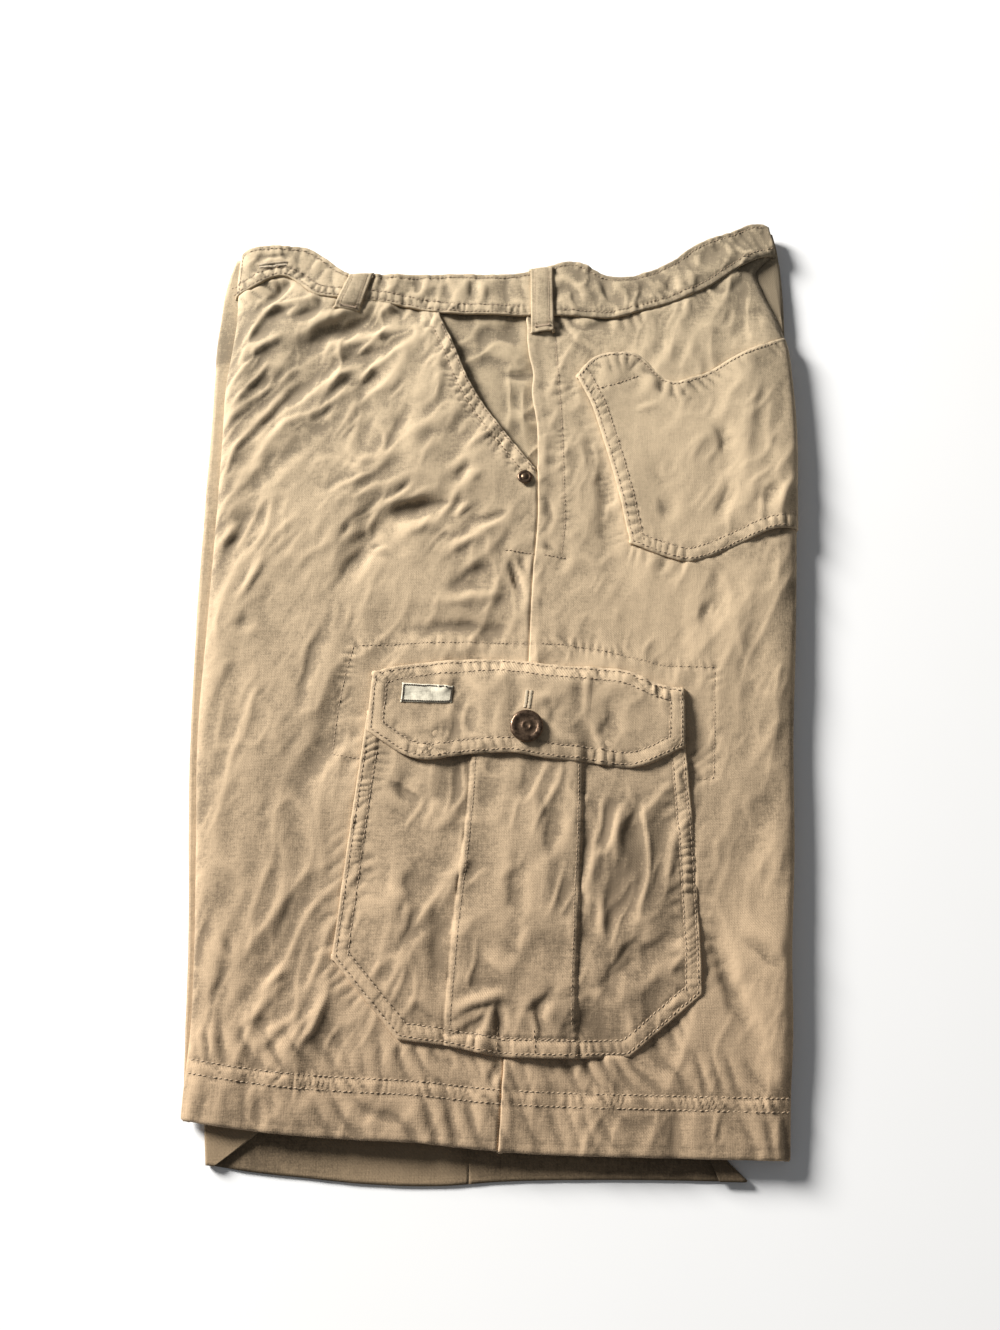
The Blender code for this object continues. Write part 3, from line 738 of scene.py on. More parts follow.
def drift(x, y, size, seed):
    """Smooth random field from -1 to 1 whose blobs are about this size."""
    lattice = np.random.RandomState(seed).uniform(-1, 1, (97, 97))
    gx = x / size + 40.37
    gy = y / size + 40.71
    column = np.floor(gx).astype(int)
    row = np.floor(gy).astype(int)
    tx = ease(gx - column)
    ty = ease(gy - row)
    column = column % 96
    row = row % 96
    low = lattice[row, column] * (1 - tx) + lattice[row, column + 1] * tx
    high = lattice[row + 1, column] * (1 - tx) + lattice[row + 1, column + 1] * tx
    return low * (1 - ty) + high * ty


# The reliefs are worked out once on a chart of 1 mm squares and read from it between its points
CHART_LOW = (-216.0, -336.0)
CHART_SIZE = (433, 673)
CHART_X, CHART_Y = np.meshgrid(
    CHART_LOW[0] + np.arange(CHART_SIZE[0]), CHART_LOW[1] + np.arange(CHART_SIZE[1])
)


def near_line(line, reach):
    """Rows and columns of the chart within reach of a line."""
    low = np.floor(line.min(axis=0) - reach - CHART_LOW).astype(int)
    high = np.ceil(line.max(axis=0) + reach - CHART_LOW).astype(int) + 1
    low = np.maximum(low, 0)
    high = np.minimum(high, CHART_SIZE)
    return slice(low[1], high[1]), slice(low[0], high[0])


def press_creases(chart, creases):
    """Add creases to a chart, each with the small swell that lies along its gentle side."""
    for row in range(len(creases["x0"])):
        line = bowed_line(creases, row)
        width, lean = CREASE_SPREAD * creases["width"][row], creases["lean"][row]
        part = near_line(line, 6 * width)
        signed, along, length = along_line(CHART_X[part], CHART_Y[part], line)
        signed = signed + 0.45 * width * drift(CHART_X[part], CHART_Y[part], 9.0, 900 + row)
        wide = width * np.where(signed > 0, 1 - lean, GENTLE_SIDE * (1 + lean))
        ends = ease(np.minimum(along, length - along) / (0.5 * length) + 0.04)
        swell = np.exp(-(((signed + 2.6 * width) / (1.5 * width)) ** 2))
        depth = CREASE_DEPTH * creases["height"][row]
        chart[part] += depth * ends * (np.exp(-((signed / wide) ** 2)) - SWELL * swell)
    return chart


def rumple(amount, size, seed, lie=90.0, stretch=1.5):
    """Unevenness of long-used cotton: broad swells and ridges that lie mostly one way, and fine
    ones.
    """
    sway_x = CHART_X + 0.45 * size * drift(CHART_X, CHART_Y, 1.6 * size, seed)
    sway_y = CHART_Y + 0.45 * size * drift(CHART_X, CHART_Y, 1.6 * size, seed + 1)
    way_x, way_y = math.cos(math.radians(lie)), math.sin(math.radians(lie))
    along = (sway_x * way_x + sway_y * way_y) / stretch
    cross = sway_y * way_x - sway_x * way_y
    broad = drift(along, cross, size, seed + 2)
    ridge = 1 - 2 * np.abs(drift(along, cross, 0.6 * size, seed + 3))
    crisp = 1 - 2 * np.abs(drift(along, cross, 0.34 * size, seed + 4))
    fine = drift(along, cross, 0.2 * size, seed + 5)
    small = drift(CHART_X, CHART_Y, 0.11 * size, seed + 6)
    where = ease(0.5 + 0.9 * drift(CHART_X, CHART_Y, 1.5 * size, seed + 7))
    detail = 0.45 * ridge + (0.1 + where) * (0.2 * crisp + 0.13 * fine) + 0.05 * small
    return amount * (broad + detail)


def drawn(amount, size, seed, lie, stretch=4.5):
    """Long narrow ridges pulled one way, some of them sharp and some hardly there."""
    sway_x = CHART_X + 0.6 * size * drift(CHART_X, CHART_Y, 2.4 * size, seed)
    sway_y = CHART_Y + 0.6 * size * drift(CHART_X, CHART_Y, 2.4 * size, seed + 1)
    way_x, way_y = math.cos(math.radians(lie)), math.sin(math.radians(lie))
    along = (sway_x * way_x + sway_y * way_y) / stretch
    cross = sway_y * way_x - sway_x * way_y
    ridge = (1 - np.abs(drift(along, cross, size, seed + 2))) ** 2.4
    strength = ease(0.5 + 1.1 * drift(CHART_X, CHART_Y, 2.2 * size, seed + 3))
    return amount * strength * (ridge - 0.35)


def pucker(chart, line, height, width, period, slant, seed, offset=0.0, groove=0.22):
    """Cloth drawn up along a seam: short uneven waves across it, and the groove of its stitches."""
    line = np.asarray(line, float)
    part = near_line(line, 3 * width)
    signed, along, length = along_line(CHART_X[part], CHART_Y[part], line)
    uneven = drift(along, signed * 0.4, 2.4 * period, seed)
    phase = (along + slant * signed) / period + 1.9 * uneven
    swell = np.clip(0.75 + 0.7 * drift(along, signed * 0.3, 2.7 * period, seed + 1), 0.35, 1.3)
    wave = (2 * np.abs(np.sin(math.pi * phase)) ** 0.9 - 1.2) * swell
    across = np.exp(-(((signed - offset) / width) ** 2))
    ends = ease(np.minimum(along, length - along) / 4 + 0.3)
    chart[part] += PUCKER_DEPTH * height * wave * across * ends
    chart[part] -= groove * np.exp(-((signed / 0.9) ** 2))
    return chart


def raise_band(chart, line, width, height):
    """Thicker strip, as wide as its seam allowance, on the left of a line."""
    line = np.asarray(line, float)
    part = near_line(line, width + 4)
    signed = along_line(CHART_X[part], CHART_Y[part], line)[0]
    chart[part] += height * ease(signed / 1.2 + 0.5) * ease((width - signed) / 1.6 + 0.5)
    return chart


def read_chart(chart, x, y):
    """Value of a chart between its points."""
    gx = np.clip(np.asarray(x, float) - CHART_LOW[0], 0, CHART_SIZE[0] - 1.001)
    gy = np.clip(np.asarray(y, float) - CHART_LOW[1], 0, CHART_SIZE[1] - 1.001)
    column = gx.astype(int)
    row = gy.astype(int)
    tx = gx - column
    ty = gy - row
    low = chart[row, column] * (1 - tx) + chart[row, column + 1] * tx
    high = chart[row + 1, column] * (1 - tx) + chart[row + 1, column + 1] * tx
    return low * (1 - ty) + high * ty


def softened(chart, radius):
    """A chart with everything finer than a radius smoothed away."""
    across = np.fft.fftfreq(chart.shape[1])
    up = np.fft.fftfreq(chart.shape[0])
    keep = np.exp(-2 * (math.pi * radius) ** 2 * (across[None, :] ** 2 + up[:, None] ** 2))
    return np.real(np.fft.ifft2(np.fft.fft2(chart) * keep))


def across(edge, x):
    """Points of an edge that is a height for each x."""
    x = np.asarray(x, float)
    return np.stack([x, y_of(edge, x)], axis=1)


def upward(edge, y):
    """Points of an edge that is an x for each height."""
    y = np.asarray(y, float)
    return np.stack([x_of(edge, y), y], axis=1)


def fold_edge(name, y):
    """Points of one of the folded leg's edges."""
    y = np.asarray(y, float)
    return np.stack([edge_at(name, y), y], axis=1)


def spaced(start, end, spacing):
    """Values from start to end about a spacing apart."""
    return np.linspace(start, end, max(2, round(abs(end - start) / spacing) + 1))


def shifted(line, distance):
    """A line moved sideways to its left, with mitred corners."""
    line = np.asarray(line, float)
    way = np.diff(line, axis=0)
    way = way / np.linalg.norm(way, axis=1, keepdims=True)
    left = np.stack([-way[:, 1], way[:, 0]], axis=1)
    before = np.concatenate([left[:1], left])
    after = np.concatenate([left, left[-1:]])
    mitre = before + after
    mitre = mitre / np.maximum((mitre * before).sum(axis=1, keepdims=True), 0.3)
    return line + mitre * distance


def resampled(line, spacing):
    """Points at an even spacing along a line."""
    line = np.asarray(line, float)
    gone = np.concatenate([[0.0], np.cumsum(np.linalg.norm(np.diff(line, axis=0), axis=1))])
    at = spaced(0.0, gone[-1], spacing)
    return np.stack([np.interp(at, gone, line[:, 0]), np.interp(at, gone, line[:, 1])], axis=1)


# Outlines and stitched lines, each listed so that its own piece lies on the left of it
SEAM_LINE = upward(SIDE_SEAM, spaced(-303, 112, 12))
BACK_EDGE_LINE = upward(SIDE_SEAM, spaced(112, 236, 8))
MOUTH_LINE = upward(POCKET_MOUTH, spaced(112, 239, 8))
HEM_LINE = across(HEM, spaced(-180, 156, 12))
WAIST_LINE = across(WAIST_SEAM, spaced(-194, 198, 6))
WAIST_TOP_LINE = across(WAIST_TOP, spaced(-192, 196, 6))
CARGO_OUTLINE = np.concatenate(
    [
        upward(CARGO_LEFT, spaced(-56, -200, 24)),
        np.stack([CARGO_BOTTOM["x"], CARGO_BOTTOM["y"]], axis=1),
        upward(CARGO_RIGHT, spaced(-220, -62, 24)),
    ]
)
FLAP_LOW_LINE = across(FLAP_BOTTOM, spaced(-84, 109, 8))
FLAP_HIGH_LINE = across(FLAP_TOP, spaced(111, -82, 8))
FLAP_OUTLINE = np.concatenate([FLAP_LOW_LINE, FLAP_HIGH_LINE, FLAP_LOW_LINE[:1]])
FLAP_SIDE = [(-83.0, -50.0)]
FLAP_ROUND = np.concatenate([FLAP_SIDE, FLAP_LOW_LINE, FLAP_HIGH_LINE, FLAP_SIDE])
POCKET_SIDE_LINE = upward(BACK_POCKET_SIDE, spaced(186, 58, 12))
POCKET_LOW_LINE = across(BACK_POCKET_BOTTOM, spaced(82, 190, 8))
POCKET_HIGH_LINE = across(BACK_POCKET_TOP, spaced(196, 50, 6))
BACK_POCKET_OUTLINE = np.concatenate([POCKET_SIDE_LINE, POCKET_LOW_LINE[1:], POCKET_HIGH_LINE])
PLEAT_FRONT_LINE = upward(PLEAT_FRONT, spaced(-52, -254, 16))
PLEAT_BACK_LINE = upward(PLEAT_BACK, spaced(-254, -52, 16))
SECOND_ROW = np.array([(37.0, 51.0), (40.0, 75.0), (39.0, 154.0), (36.0, 216.0), (36.0, 234.0)])
BAR_ACROSS_SEAM = np.array([(0.0, 54.0), (20.0, 51.0), (40.0, 48.0)])
PATCH_ROW = np.array(
    [
        (-88.0, -86.0),
        (-105.0, -83.0),
        (-103.0, -55.0),
        (-99.0, -30.0),
        (-95.0, -13.0),
        (-50.0, -11.0),
        (-16.0, -10.0),
        (35.0, -12.0),
        (60.0, -16.0),
        (80.0, -21.0),
        (100.0, -26.0),
        (131.0, -27.0),
        (129.0, -60.0),
        (126.0, -98.0),
        (112.0, -98.0),
    ]
)
PLEAT_FOOT_ROW = np.array([(-33.0, -242.0), (8.0, -245.0), (38.0, -246.0)])
POCKET_HEM_ROW = np.array([(60.0, 173.0), (75.0, 178.0), (93.0, 186.0)])
PLEAT_BARS = (
    np.array([(-5.0, -236.0), (-5.0, -252.0)]),
    np.array([(16.0, -240.0), (16.0, -253.0)]),
)
BAND_END_ROW = np.array([(-190.0, 257.0), (-189.0, 289.0)])
WAIST_BUTTONHOLE = np.array([(-177.0, 279.0), (-168.0, 280.5), (-157.0, 282.0)])
FLAP_BUTTONHOLE = np.array([(15.0, -45.0), (14.5, -50.0), (13.5, -56.0)])


def inside_of(outline, x, y):
    """Distance inside a closed outline, below zero outside it."""
    closed = np.concatenate([outline, outline[:1]])
    return along_line(x, y, closed)[0]


def leg_relief():
    """Creases, rumples and drawn-up seams of the leg panels."""
    high_front = ease((CHART_Y - 10) / 80) * ease((30 - CHART_X) / 60)
    chart = rumple(1.6, 34.0, 5, 48.0, 2.6)
    chart += drawn(2.4, 16.0, 201, 40.0)
    chart += drawn(1.6, 11.0, 211, 62.0)
    chart += drawn(0.8, 6.5, 216, 50.0, 4.0)
    calm = rumple(1.3, 38.0, 15, 74.0, 2.2) + drawn(1.0, 17.0, 221, 70.0)
    close = drawn(0.6, 9.0, 226, 80.0, 3.0) + drawn(0.35, 6.0, 231, 60.0, 3.5)
    chart = chart * high_front
    chart += calm * (1 - high_front)
    chart += close * (1 - 0.5 * high_front)
    chart = press_creases(chart, LEG_CREASES)
    middle = shifted(HEM_LINE, sum(HEM_ROWS) / 2)
    chart = pucker(chart, middle, 0.42, 4.6, 5.2, 0.55, 31, groove=0.0)
    chart = pucker(chart, shifted(HEM_LINE, 12), 0.5, 12.0, 15.0, 0.45, 33, groove=0.0)
    chart = pucker(chart, shifted(HEM_LINE, 42), 0.42, 9.0, 12.0, 0.5, 35, groove=0.0)
    chart += 0.5 * ease((y_of(HEM, CHART_X) + HEM_ROWS[1] - CHART_Y) / 1.6 + 0.5)
    for row in HEM_ROWS:
        chart = pucker(chart, shifted(HEM_LINE, row), 0.1, 2.0, 3.0, 0.3, 37, groove=0.4)
    chart = pucker(chart, shifted(HEM_LINE, HEM_FOLD_GHOST), 0.0, 2.0, 3.0, 0.0, 38, groove=0.16)
    chart = pucker(chart, MOUTH_LINE, 0.95, 6.5, 7.6, 0.5, 44, offset=7.0, groove=0.0)
    chart = pucker(chart, MOUTH_LINE, 0.35, 5.0, 5.2, -0.4, 42, offset=10.0, groove=0.0)
    chart = raise_band(chart, MOUTH_LINE, INNER_ROW, 0.5)
    for row in (EDGE_ROW, INNER_ROW):
        chart = pucker(chart, shifted(MOUTH_LINE, row), 0.12, 2.0, 4.0, 0.3, 43, groove=0.3)
    chart = pucker(chart, SEAM_LINE, 0.06, 6.0, 11.0, 0.3, 45, offset=-4.0, groove=0.0)
    chart = pucker(chart, BACK_EDGE_LINE, 0.1, 7.0, 16.0, 0.3, 47, offset=-9.0, groove=0.0)
    chart = pucker(chart, SECOND_ROW, 0.22, 4.0, 7.0, 0.3, 49, groove=0.3)
    chart = pucker(chart, BAR_ACROSS_SEAM, 0.15, 3.0, 5.0, 0.0, 50, groove=0.3)
    chart = pucker(chart, PATCH_ROW, 0.3, 4.5, 6.0, 0.4, 51, groove=0.3)
    chart = pucker(chart, WAIST_LINE, 0.4, 7.0, 11.0, 0.3, 53, offset=-5.0, groove=0.0)
    chart = pucker(chart, CARGO_OUTLINE, 0.25, 6.0, 9.0, 0.3, 55, offset=-5.0, groove=0.0)
    pocket_edge = BACK_POCKET_OUTLINE[:26]
    chart = pucker(chart, pocket_edge, 0.25, 6.0, 9.0, 0.3, 57, offset=-5.0, groove=0.0)
    covered = ease((CHART_Y - y_of(WAIST_SEAM, CHART_X)) / 2 + 0.3)
    for outline in (CARGO_OUTLINE, BACK_POCKET_OUTLINE, FLAP_OUTLINE):
        covered = np.maximum(covered, ease(inside_of(outline, CHART_X, CHART_Y) / 4))
    return chart * (1 - covered) - 0.9 * covered


def band_relief():
    """The waistband: short creases, and gathers between its rows of stitches."""
    chart = rumple(0.9, 22.0, 61) + drawn(1.5, 9.0, 261, 75.0, 3.0)
    chart = press_creases(chart, BAND_CREASES)
    middle = shifted(WAIST_LINE, 17)
    chart = pucker(chart, middle, 0.22, 13.0, 15.0, 0.12, 63, groove=0.0)
    chart = pucker(chart, shifted(WAIST_TOP_LINE, -2), 0.25, 5.0, 9.0, 0.2, 64, groove=0.0)
    front = WAIST_LINE[WAIST_LINE[:, 0] < 18]
    back = WAIST_LINE[WAIST_LINE[:, 0] > 18]
    chart = pucker(chart, shifted(front, 5.4), 0.5, 4.0, 6.0, 0.05, 65, groove=0.0)
    for row in BAND_ROWS_FRONT:
        chart = pucker(chart, shifted(front, row), 0.1, 2.0, 4.0, 0.2, 66, groove=0.35)
    chart = pucker(chart, shifted(back, BAND_ROW_BACK), 0.35, 4.5, 6.5, 0.1, 67, groove=0.35)
    top_row = shifted(WAIST_TOP_LINE, BAND_TOP_ROW)
    chart = pucker(chart, top_row, 0.2, 3.0, 5.0, 0.2, 68, groove=0.35)
    return pucker(chart, WAIST_BUTTONHOLE, 0.2, 4.0, 7.0, 0.1, 69, groove=0.9)


def cargo_relief():
    """The bellows pocket: upright creases, a stitched border and a bar at the pleat's foot."""
    chart = rumple(1.5, 34.0, 71, 80.0, 2.2) + drawn(1.9, 17.0, 234, 80.0, 3.5)
    chart += drawn(0.9, 8.0, 239, 68.0, 3.0)
    chart = press_creases(chart, CARGO_CREASES)
    chart = pucker(chart, shifted(CARGO_OUTLINE, 5.5), 0.26, 4.2, 5.0, 0.45, 73, groove=0.0)
    chart = pucker(chart, shifted(CARGO_OUTLINE, 13), 0.12, 5.0, 13.0, 0.5, 74, groove=0.0)
    chart = raise_band(chart, CARGO_OUTLINE, INNER_ROW, 0.45)
    for row in (EDGE_ROW, INNER_ROW):
        chart = pucker(chart, shifted(CARGO_OUTLINE, row), 0.1, 2.0, 3.2, 0.3, 75, groove=0.35)
    for line in (PLEAT_FRONT_LINE, PLEAT_BACK_LINE):
        chart = pucker(chart, shifted(line, PLEAT_ROW), 0.12, 3.0, 5.0, 0.3, 77, groove=0.25)
    return pucker(chart, PLEAT_FOOT_ROW, 0.15, 3.0, 7.0, 0.0, 79, groove=0.6)


def flap_relief():
    """The flap: short upright creases inside a thick border with two rows of stitches."""
    chart = rumple(1.1, 28.0, 81, 70.0)
    chart += drawn(1.8, 14.0, 244, 80.0, 2.5)
    chart += drawn(0.9, 8.0, 249, 66.0, 2.5)
    chart = press_creases(chart, FLAP_CREASES)
    for line in (FLAP_LOW_LINE[2:], FLAP_HIGH_LINE):
        chart = pucker(chart, shifted(line, 5.4), 0.42, 4.2, 6.0, 0.35, 83, groove=0.0)
    chart = raise_band(chart, FLAP_ROUND, INNER_ROW, 0.4)
    for row in (EDGE_ROW, INNER_ROW):
        chart = pucker(chart, shifted(FLAP_ROUND, row), 0.1, 2.0, 3.2, 0.3, 85, groove=0.33)
    return chart


def back_pocket_relief():
    """The patch pocket: upright creases, thick edges and its turned top."""
    chart = rumple(1.1, 36.0, 91, 75.0, 2.0)
    chart += drawn(1.5, 16.0, 251, 76.0, 3.5)
    chart += drawn(0.6, 8.0, 256, 60.0, 3.0)
    chart = press_creases(chart, BACK_POCKET_CREASES)
    for line in (POCKET_SIDE_LINE, POCKET_LOW_LINE):
        chart = pucker(chart, shifted(line, 5.4), 0.45, 4.4, 6.2, 0.4, 93, groove=0.0)
        chart = raise_band(chart, line, INNER_ROW, 0.4)
        for row in (EDGE_ROW, INNER_ROW):
            chart = pucker(chart, shifted(line, row), 0.1, 2.0, 3.2, 0.3, 95, groove=0.33)
    chart = pucker(chart, shifted(POCKET_HIGH_LINE, 7), 0.5, 8.0, 9.0, 0.2, 97, groove=0.0)
    chart = pucker(chart, POCKET_HEM_ROW, 0.2, 3.0, 5.0, 0.2, 98, groove=0.35)
    return pucker(chart, shifted(POCKET_HIGH_LINE, EDGE_ROW), 0.1, 2.0, 3.0, 0.2, 99, groove=0.3)


def facing_relief():
    """Cloth inside the pocket mouth, with a few slack folds across it."""
    chart = rumple(1.0, 24.0, 101) + drawn(1.2, 13.0, 281, 48.0, 3.0)
    creases = (
        (-4, 189, 22, 186, 2, 5, 0.2, -1.5),
        (20, 200, -22, 206, -3, 7, 0.3, 1.4),
        (-26, 222, 14, 226, 2, 6, 0.2, -0.9),
        (2, 160, 20, 152, 1, 6, 0.3, 0.7),
    )
    return press_creases(chart, table(CREASE_COLUMNS, creases))


LEG_RELIEF = leg_relief()
BAND_RELIEF = band_relief()
LOOP_RELIEF = softened(BAND_RELIEF, 7.0) + rumple(0.12, 12.0, 131)
CARGO_RELIEF = cargo_relief()
FLAP_RELIEF = flap_relief()
BACK_POCKET_RELIEF = back_pocket_relief()
FACING_RELIEF = facing_relief()
NO_RELIEF = np.zeros_like(CHART_X)
UNDER_RELIEF = rumple(0.5, 26.0, 111)
# Painted shade: all the patches as one chart, darker and lighter.
PAINTED_SHADE_CHART = sum(
    row[3] * np.exp(-(((CHART_X - row[0]) / row[2]) ** 2) - ((CHART_Y - row[1]) / row[2]) ** 2)
    for row in zip(PAINTED_SHADE_PATCHES["x"], PAINTED_SHADE_PATCHES["y"], PAINTED_SHADE_PATCHES["radius"], PAINTED_SHADE_PATCHES["amount"])
)
FOLD_LINES = [bowed_line(FOLDS, row) for row in range(len(FOLDS["x0"]))]


def top_height(x, y):
    """Height of the top leg before its creases: rounded fold edges and the largest folds."""
    x = np.asarray(x, float)
    y = np.asarray(y, float)
    front = x - edge_at("front", y)
    back = edge_at("back", y) - x
    full = smooth(THICKNESS["y"], THICKNESS["z"], y)
    edge = EDGE_HEIGHT - 1.0 + ease((y + 310) / 60)
    z = edge + (full - edge) * rounded(front) * rounded(back)
    inside = ease(np.minimum(front, back) / FOLD_REACH)
    for line, half_width, height in zip(FOLD_LINES, FOLDS["half_width"], FOLDS["height"]):
        gap = along_line(x, y, line)[0]
        z = z + inside * height * np.exp(-((gap / half_width) ** 2))
    return z


TOP_CHART = top_height(CHART_X, CHART_Y)


def base_height(x, y):
    """top_height, read from a chart except near the fold edges, where it is worked out."""
    near = np.minimum(x - edge_at("front", y), edge_at("back", y) - x) < 4.0
    z = read_chart(TOP_CHART, x, y)
    if near.any():
        z = np.array(z)
        z[near] = top_height(x[near], y[near])
    return z


def quiet_at_fold(x, y):
    """Relief fades towards the rounded fold edges."""
    edge = np.minimum(x - edge_at("front", y), edge_at("back", y) - x)
    return 0.25 + 0.75 * ease(edge / 9.0)


def cargo_pocket_rise(x, y):
    """How far the bellows pocket stands off the panel: its puff and its box pleat."""
    front = x - x_of(CARGO_LEFT, y)
    back = x_of(CARGO_RIGHT, y) - x
    puff = ease(front / POCKET_SHOULDER) * ease(back / POCKET_SHOULDER)
    puff = puff * ease((y - POCKET_FOOT) / POCKET_SHOULDER)
    pleat = ease((x - x_of(PLEAT_FRONT, y)) / PLEAT_SHOULDER + 0.5)
    pleat = pleat * ease((x_of(PLEAT_BACK, y) - x) / PLEAT_SHOULDER + 0.5)
    return POCKET_PUFF * puff + PLEAT_RISE * pleat


def flap_rise(x, y):
    """How far the flap stands off the panel: sewn flat at its top, and lying over the pocket."""
    over = ease((y_of(FLAP_TOP, x) - y) / FLAP_SINK)
    front = ease((x - x_of(PLEAT_FRONT, y) + FLAP_REACH) / (2.2 * FLAP_REACH))
    back = ease((x_of(PLEAT_BACK, y) + FLAP_REACH - x) / (2.2 * FLAP_REACH))
    left = ease((x - x_of(CARGO_LEFT, y) + FLAP_REACH) / POCKET_SHOULDER)
    right = ease((x_of(CARGO_RIGHT, y) + FLAP_REACH - x) / POCKET_SHOULDER)
    return over * (POCKET_PUFF * left * right + PLEAT_RISE * front * back + POCKET_OUT + LAY)


def front_lap_rise(x, y):
    """The front panel passes under the back panel at the side seam."""
    below_tack = ease((118 - y) / 6)
    return -1.5 * ease((x - x_of(SIDE_SEAM, y) + 1.2) / 1.6) * below_tack


def back_lap_rise(x, y):
    """The back panel's edge stands up a little where it laps the seam."""
    past = x - x_of(SIDE_SEAM, y)
    return SEAM_LAP * ease((past + 3.0) / 2.0) * ease((9.0 - past) / 5.0)


def laid(x, y, out=0.0, rise=None, relief=NO_RELIEF):
    """Points on the top leg moved out along its surface, and the surface's directions there."""
    step = 0.8

    def height(px, py):
        z = base_height(px, py) + quiet_at_fold(px, py) * read_chart(relief, px, py)
        return z if rise is None else z + rise(px, py)

    x = np.asarray(x, float)
    y = np.asarray(y, float)
    z = height(x, y)
    slope_x = (height(x + step, y) - height(x - step, y)) / (2 * step)
    slope_y = (height(x, y + step) - height(x, y - step)) / (2 * step)
    normal = np.stack([-slope_x, -slope_y, np.ones_like(z)], axis=-1)
    normal = normal / np.linalg.norm(normal, axis=-1, keepdims=True)
    gap = np.broadcast_to(np.asarray(out, float), z.shape)[..., None]
    return np.stack([x, y, z], axis=-1) + normal * gap, normal


def patch(left, right, bottom, top):
    """Grid of plan points between four edges: left and right run up, bottom and top run across."""

    def steps(line):
        return np.linalg.norm(np.diff(line, axis=0), axis=1)

    u = steps(bottom) + steps(top)
    v = steps(left) + steps(right)
    u = (np.concatenate([[0], np.cumsum(u)]) / u.sum())[None, :, None]
    v = (np.concatenate([[0], np.cumsum(v)]) / v.sum())[:, None, None]
    ruled_across = (1 - u) * left[:, None] + u * right[:, None]
    ruled_up = (1 - v) * bottom[None] + v * top[None]
    low = (1 - u) * bottom[0] + u * bottom[-1]
    high = (1 - u) * top[0] + u * top[-1]
    return ruled_across + ruled_up - (1 - v) * low - v * high


def ruled(low, high, rows):
    """Grid of plan points between a lower and an upper edge, straight at its ends."""
    up = np.linspace(0, 1, rows)[:, None]
    left = low[0] + (high[0] - low[0]) * up
    right = low[-1] + (high[-1] - low[-1]) * up
    return patch(left, right, low, high)


def rolled(points, normals, sides, radius, tail=1.5):
    """Turn the named edges of a grid under, as a hem or a fold is: left, right, bottom, top."""
    for side in sides:
        if side in ("left", "right"):
            points, normals = points.swapaxes(0, 1), normals.swapaxes(0, 1)
        if side in ("top", "right"):
            points, normals = points[::-1], normals[::-1]
        edge, inner, normal = points[0], points[1], normals[0]
        out = edge - inner
        out = out - (out * normal).sum(axis=-1, keepdims=True) * normal
        out = out / np.linalg.norm(out, axis=-1, keepdims=True)
        rows = []
        for angle in np.radians((35, 75, 115, 150, 180)):
            way = out * math.sin(angle) - normal * (1 - math.cos(angle))
            rows.append(edge - out * radius + way * radius)
        rows.append(rows[-1] - out * tail)
        points = np.concatenate([np.array(rows[::-1]), points[1:]])
        normals = np.concatenate([np.repeat(normal[None], len(rows), axis=0), normals[1:]])
        if side in ("top", "right"):
            points, normals = points[::-1], normals[::-1]
        if side in ("left", "right"):
            points, normals = points.swapaxes(0, 1), normals.swapaxes(0, 1)
    return points, normals


def grid_mesh(points, wear=None):
    """A grid of faces laid on rows and columns of points, with the cloth's tone at each, both
    rubbed pale and painted shade.
    """
    rows, columns = points.shape[:2]
    bm = bmesh.new()
    bmesh.ops.create_grid(bm, x_segments=columns - 1, y_segments=rows - 1, size=0.5)
    layer = bm.verts.layers.float.new("wear")
    for vertex in bm.verts:
        column = round((vertex.co.x + 0.5) * (columns - 1))
        row = round((vertex.co.y + 0.5) * (rows - 1))
        vertex.co = points[row, column]
        vertex[layer] = 0.5 if wear is None else float(wear[row, column])
    return bm


def finished(name, bm, look):
    """Turn a bmesh in millimetres into a smooth object in metres that rides with the shorts."""
    bmesh.ops.scale(bm, vec=(MM, MM, MM), verts=bm.verts)
    mesh = bpy.data.meshes.new(name)
    bm.to_mesh(mesh)
    bm.free()
    mesh.shade_smooth()
    mesh.materials.append(look)
    made = bpy.data.objects.new(name, mesh)
    bpy.context.scene.collection.objects.link(made)
    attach(made, "root")
    return made


def wear_and_painted_shade(points, relief, rolled_rows):
    """Rubbed pale and faded on ridges and turned edges; darker in troughs and beside seams as
    painted shade, with the painted shade patches added.
    """
    # Ridges of the relief come out paler, as rubbed cloth, and its troughs darker, as painted
    # shade.
    detail = 1.0 * (relief - softened(relief, 1.6)) + 0.45 * (relief - softened(relief, 4.0))
    detail += 0.2 * (relief - softened(relief, 12.0))
    # Painted shade patches, darker and lighter, join the relief's tone here.
    tone = read_chart(detail + PAINTED_SHADE_CHART, points[..., 0], points[..., 1])
    wear = 0.5 + np.clip(tone, -0.5, 0.4)
    left, right, bottom, top = rolled_rows
    rim = np.zeros(points.shape[:2])
    rim[:bottom] = 1
    rim[len(rim) - top :] = 1
    rim[:, :left] = 1
    rim[:, rim.shape[1] - right :] = 1
    return np.clip(wear + 0.18 * rim, 0.0, 1.0)


def sewn_cloth(name, node, plan, look, out=0.0, rise=None, relief=NO_RELIEF,
               roll=POCKET_ROLL, sides=("left", "right", "bottom", "top"), tail=1.5, wall=CLOTH):
    """One piece of cloth: its plan laid on the leg, its edges turned under, and its wall."""
    points, normals = laid(plan[..., 0], plan[..., 1], out, rise, relief)
    rims = [6 if side in sides else 0 for side in ("left", "right", "bottom", "top")]
    points, normals = rolled(points, normals, sides, roll, tail)
    made = finished(name, grid_mesh(points, wear_and_painted_shade(points, relief, rims)), look)
    shell = made.modifiers.new("wall", "SOLIDIFY")
    shell.thickness = wall * MM
    shell.offset = -1.0
    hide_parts(node)
    return made


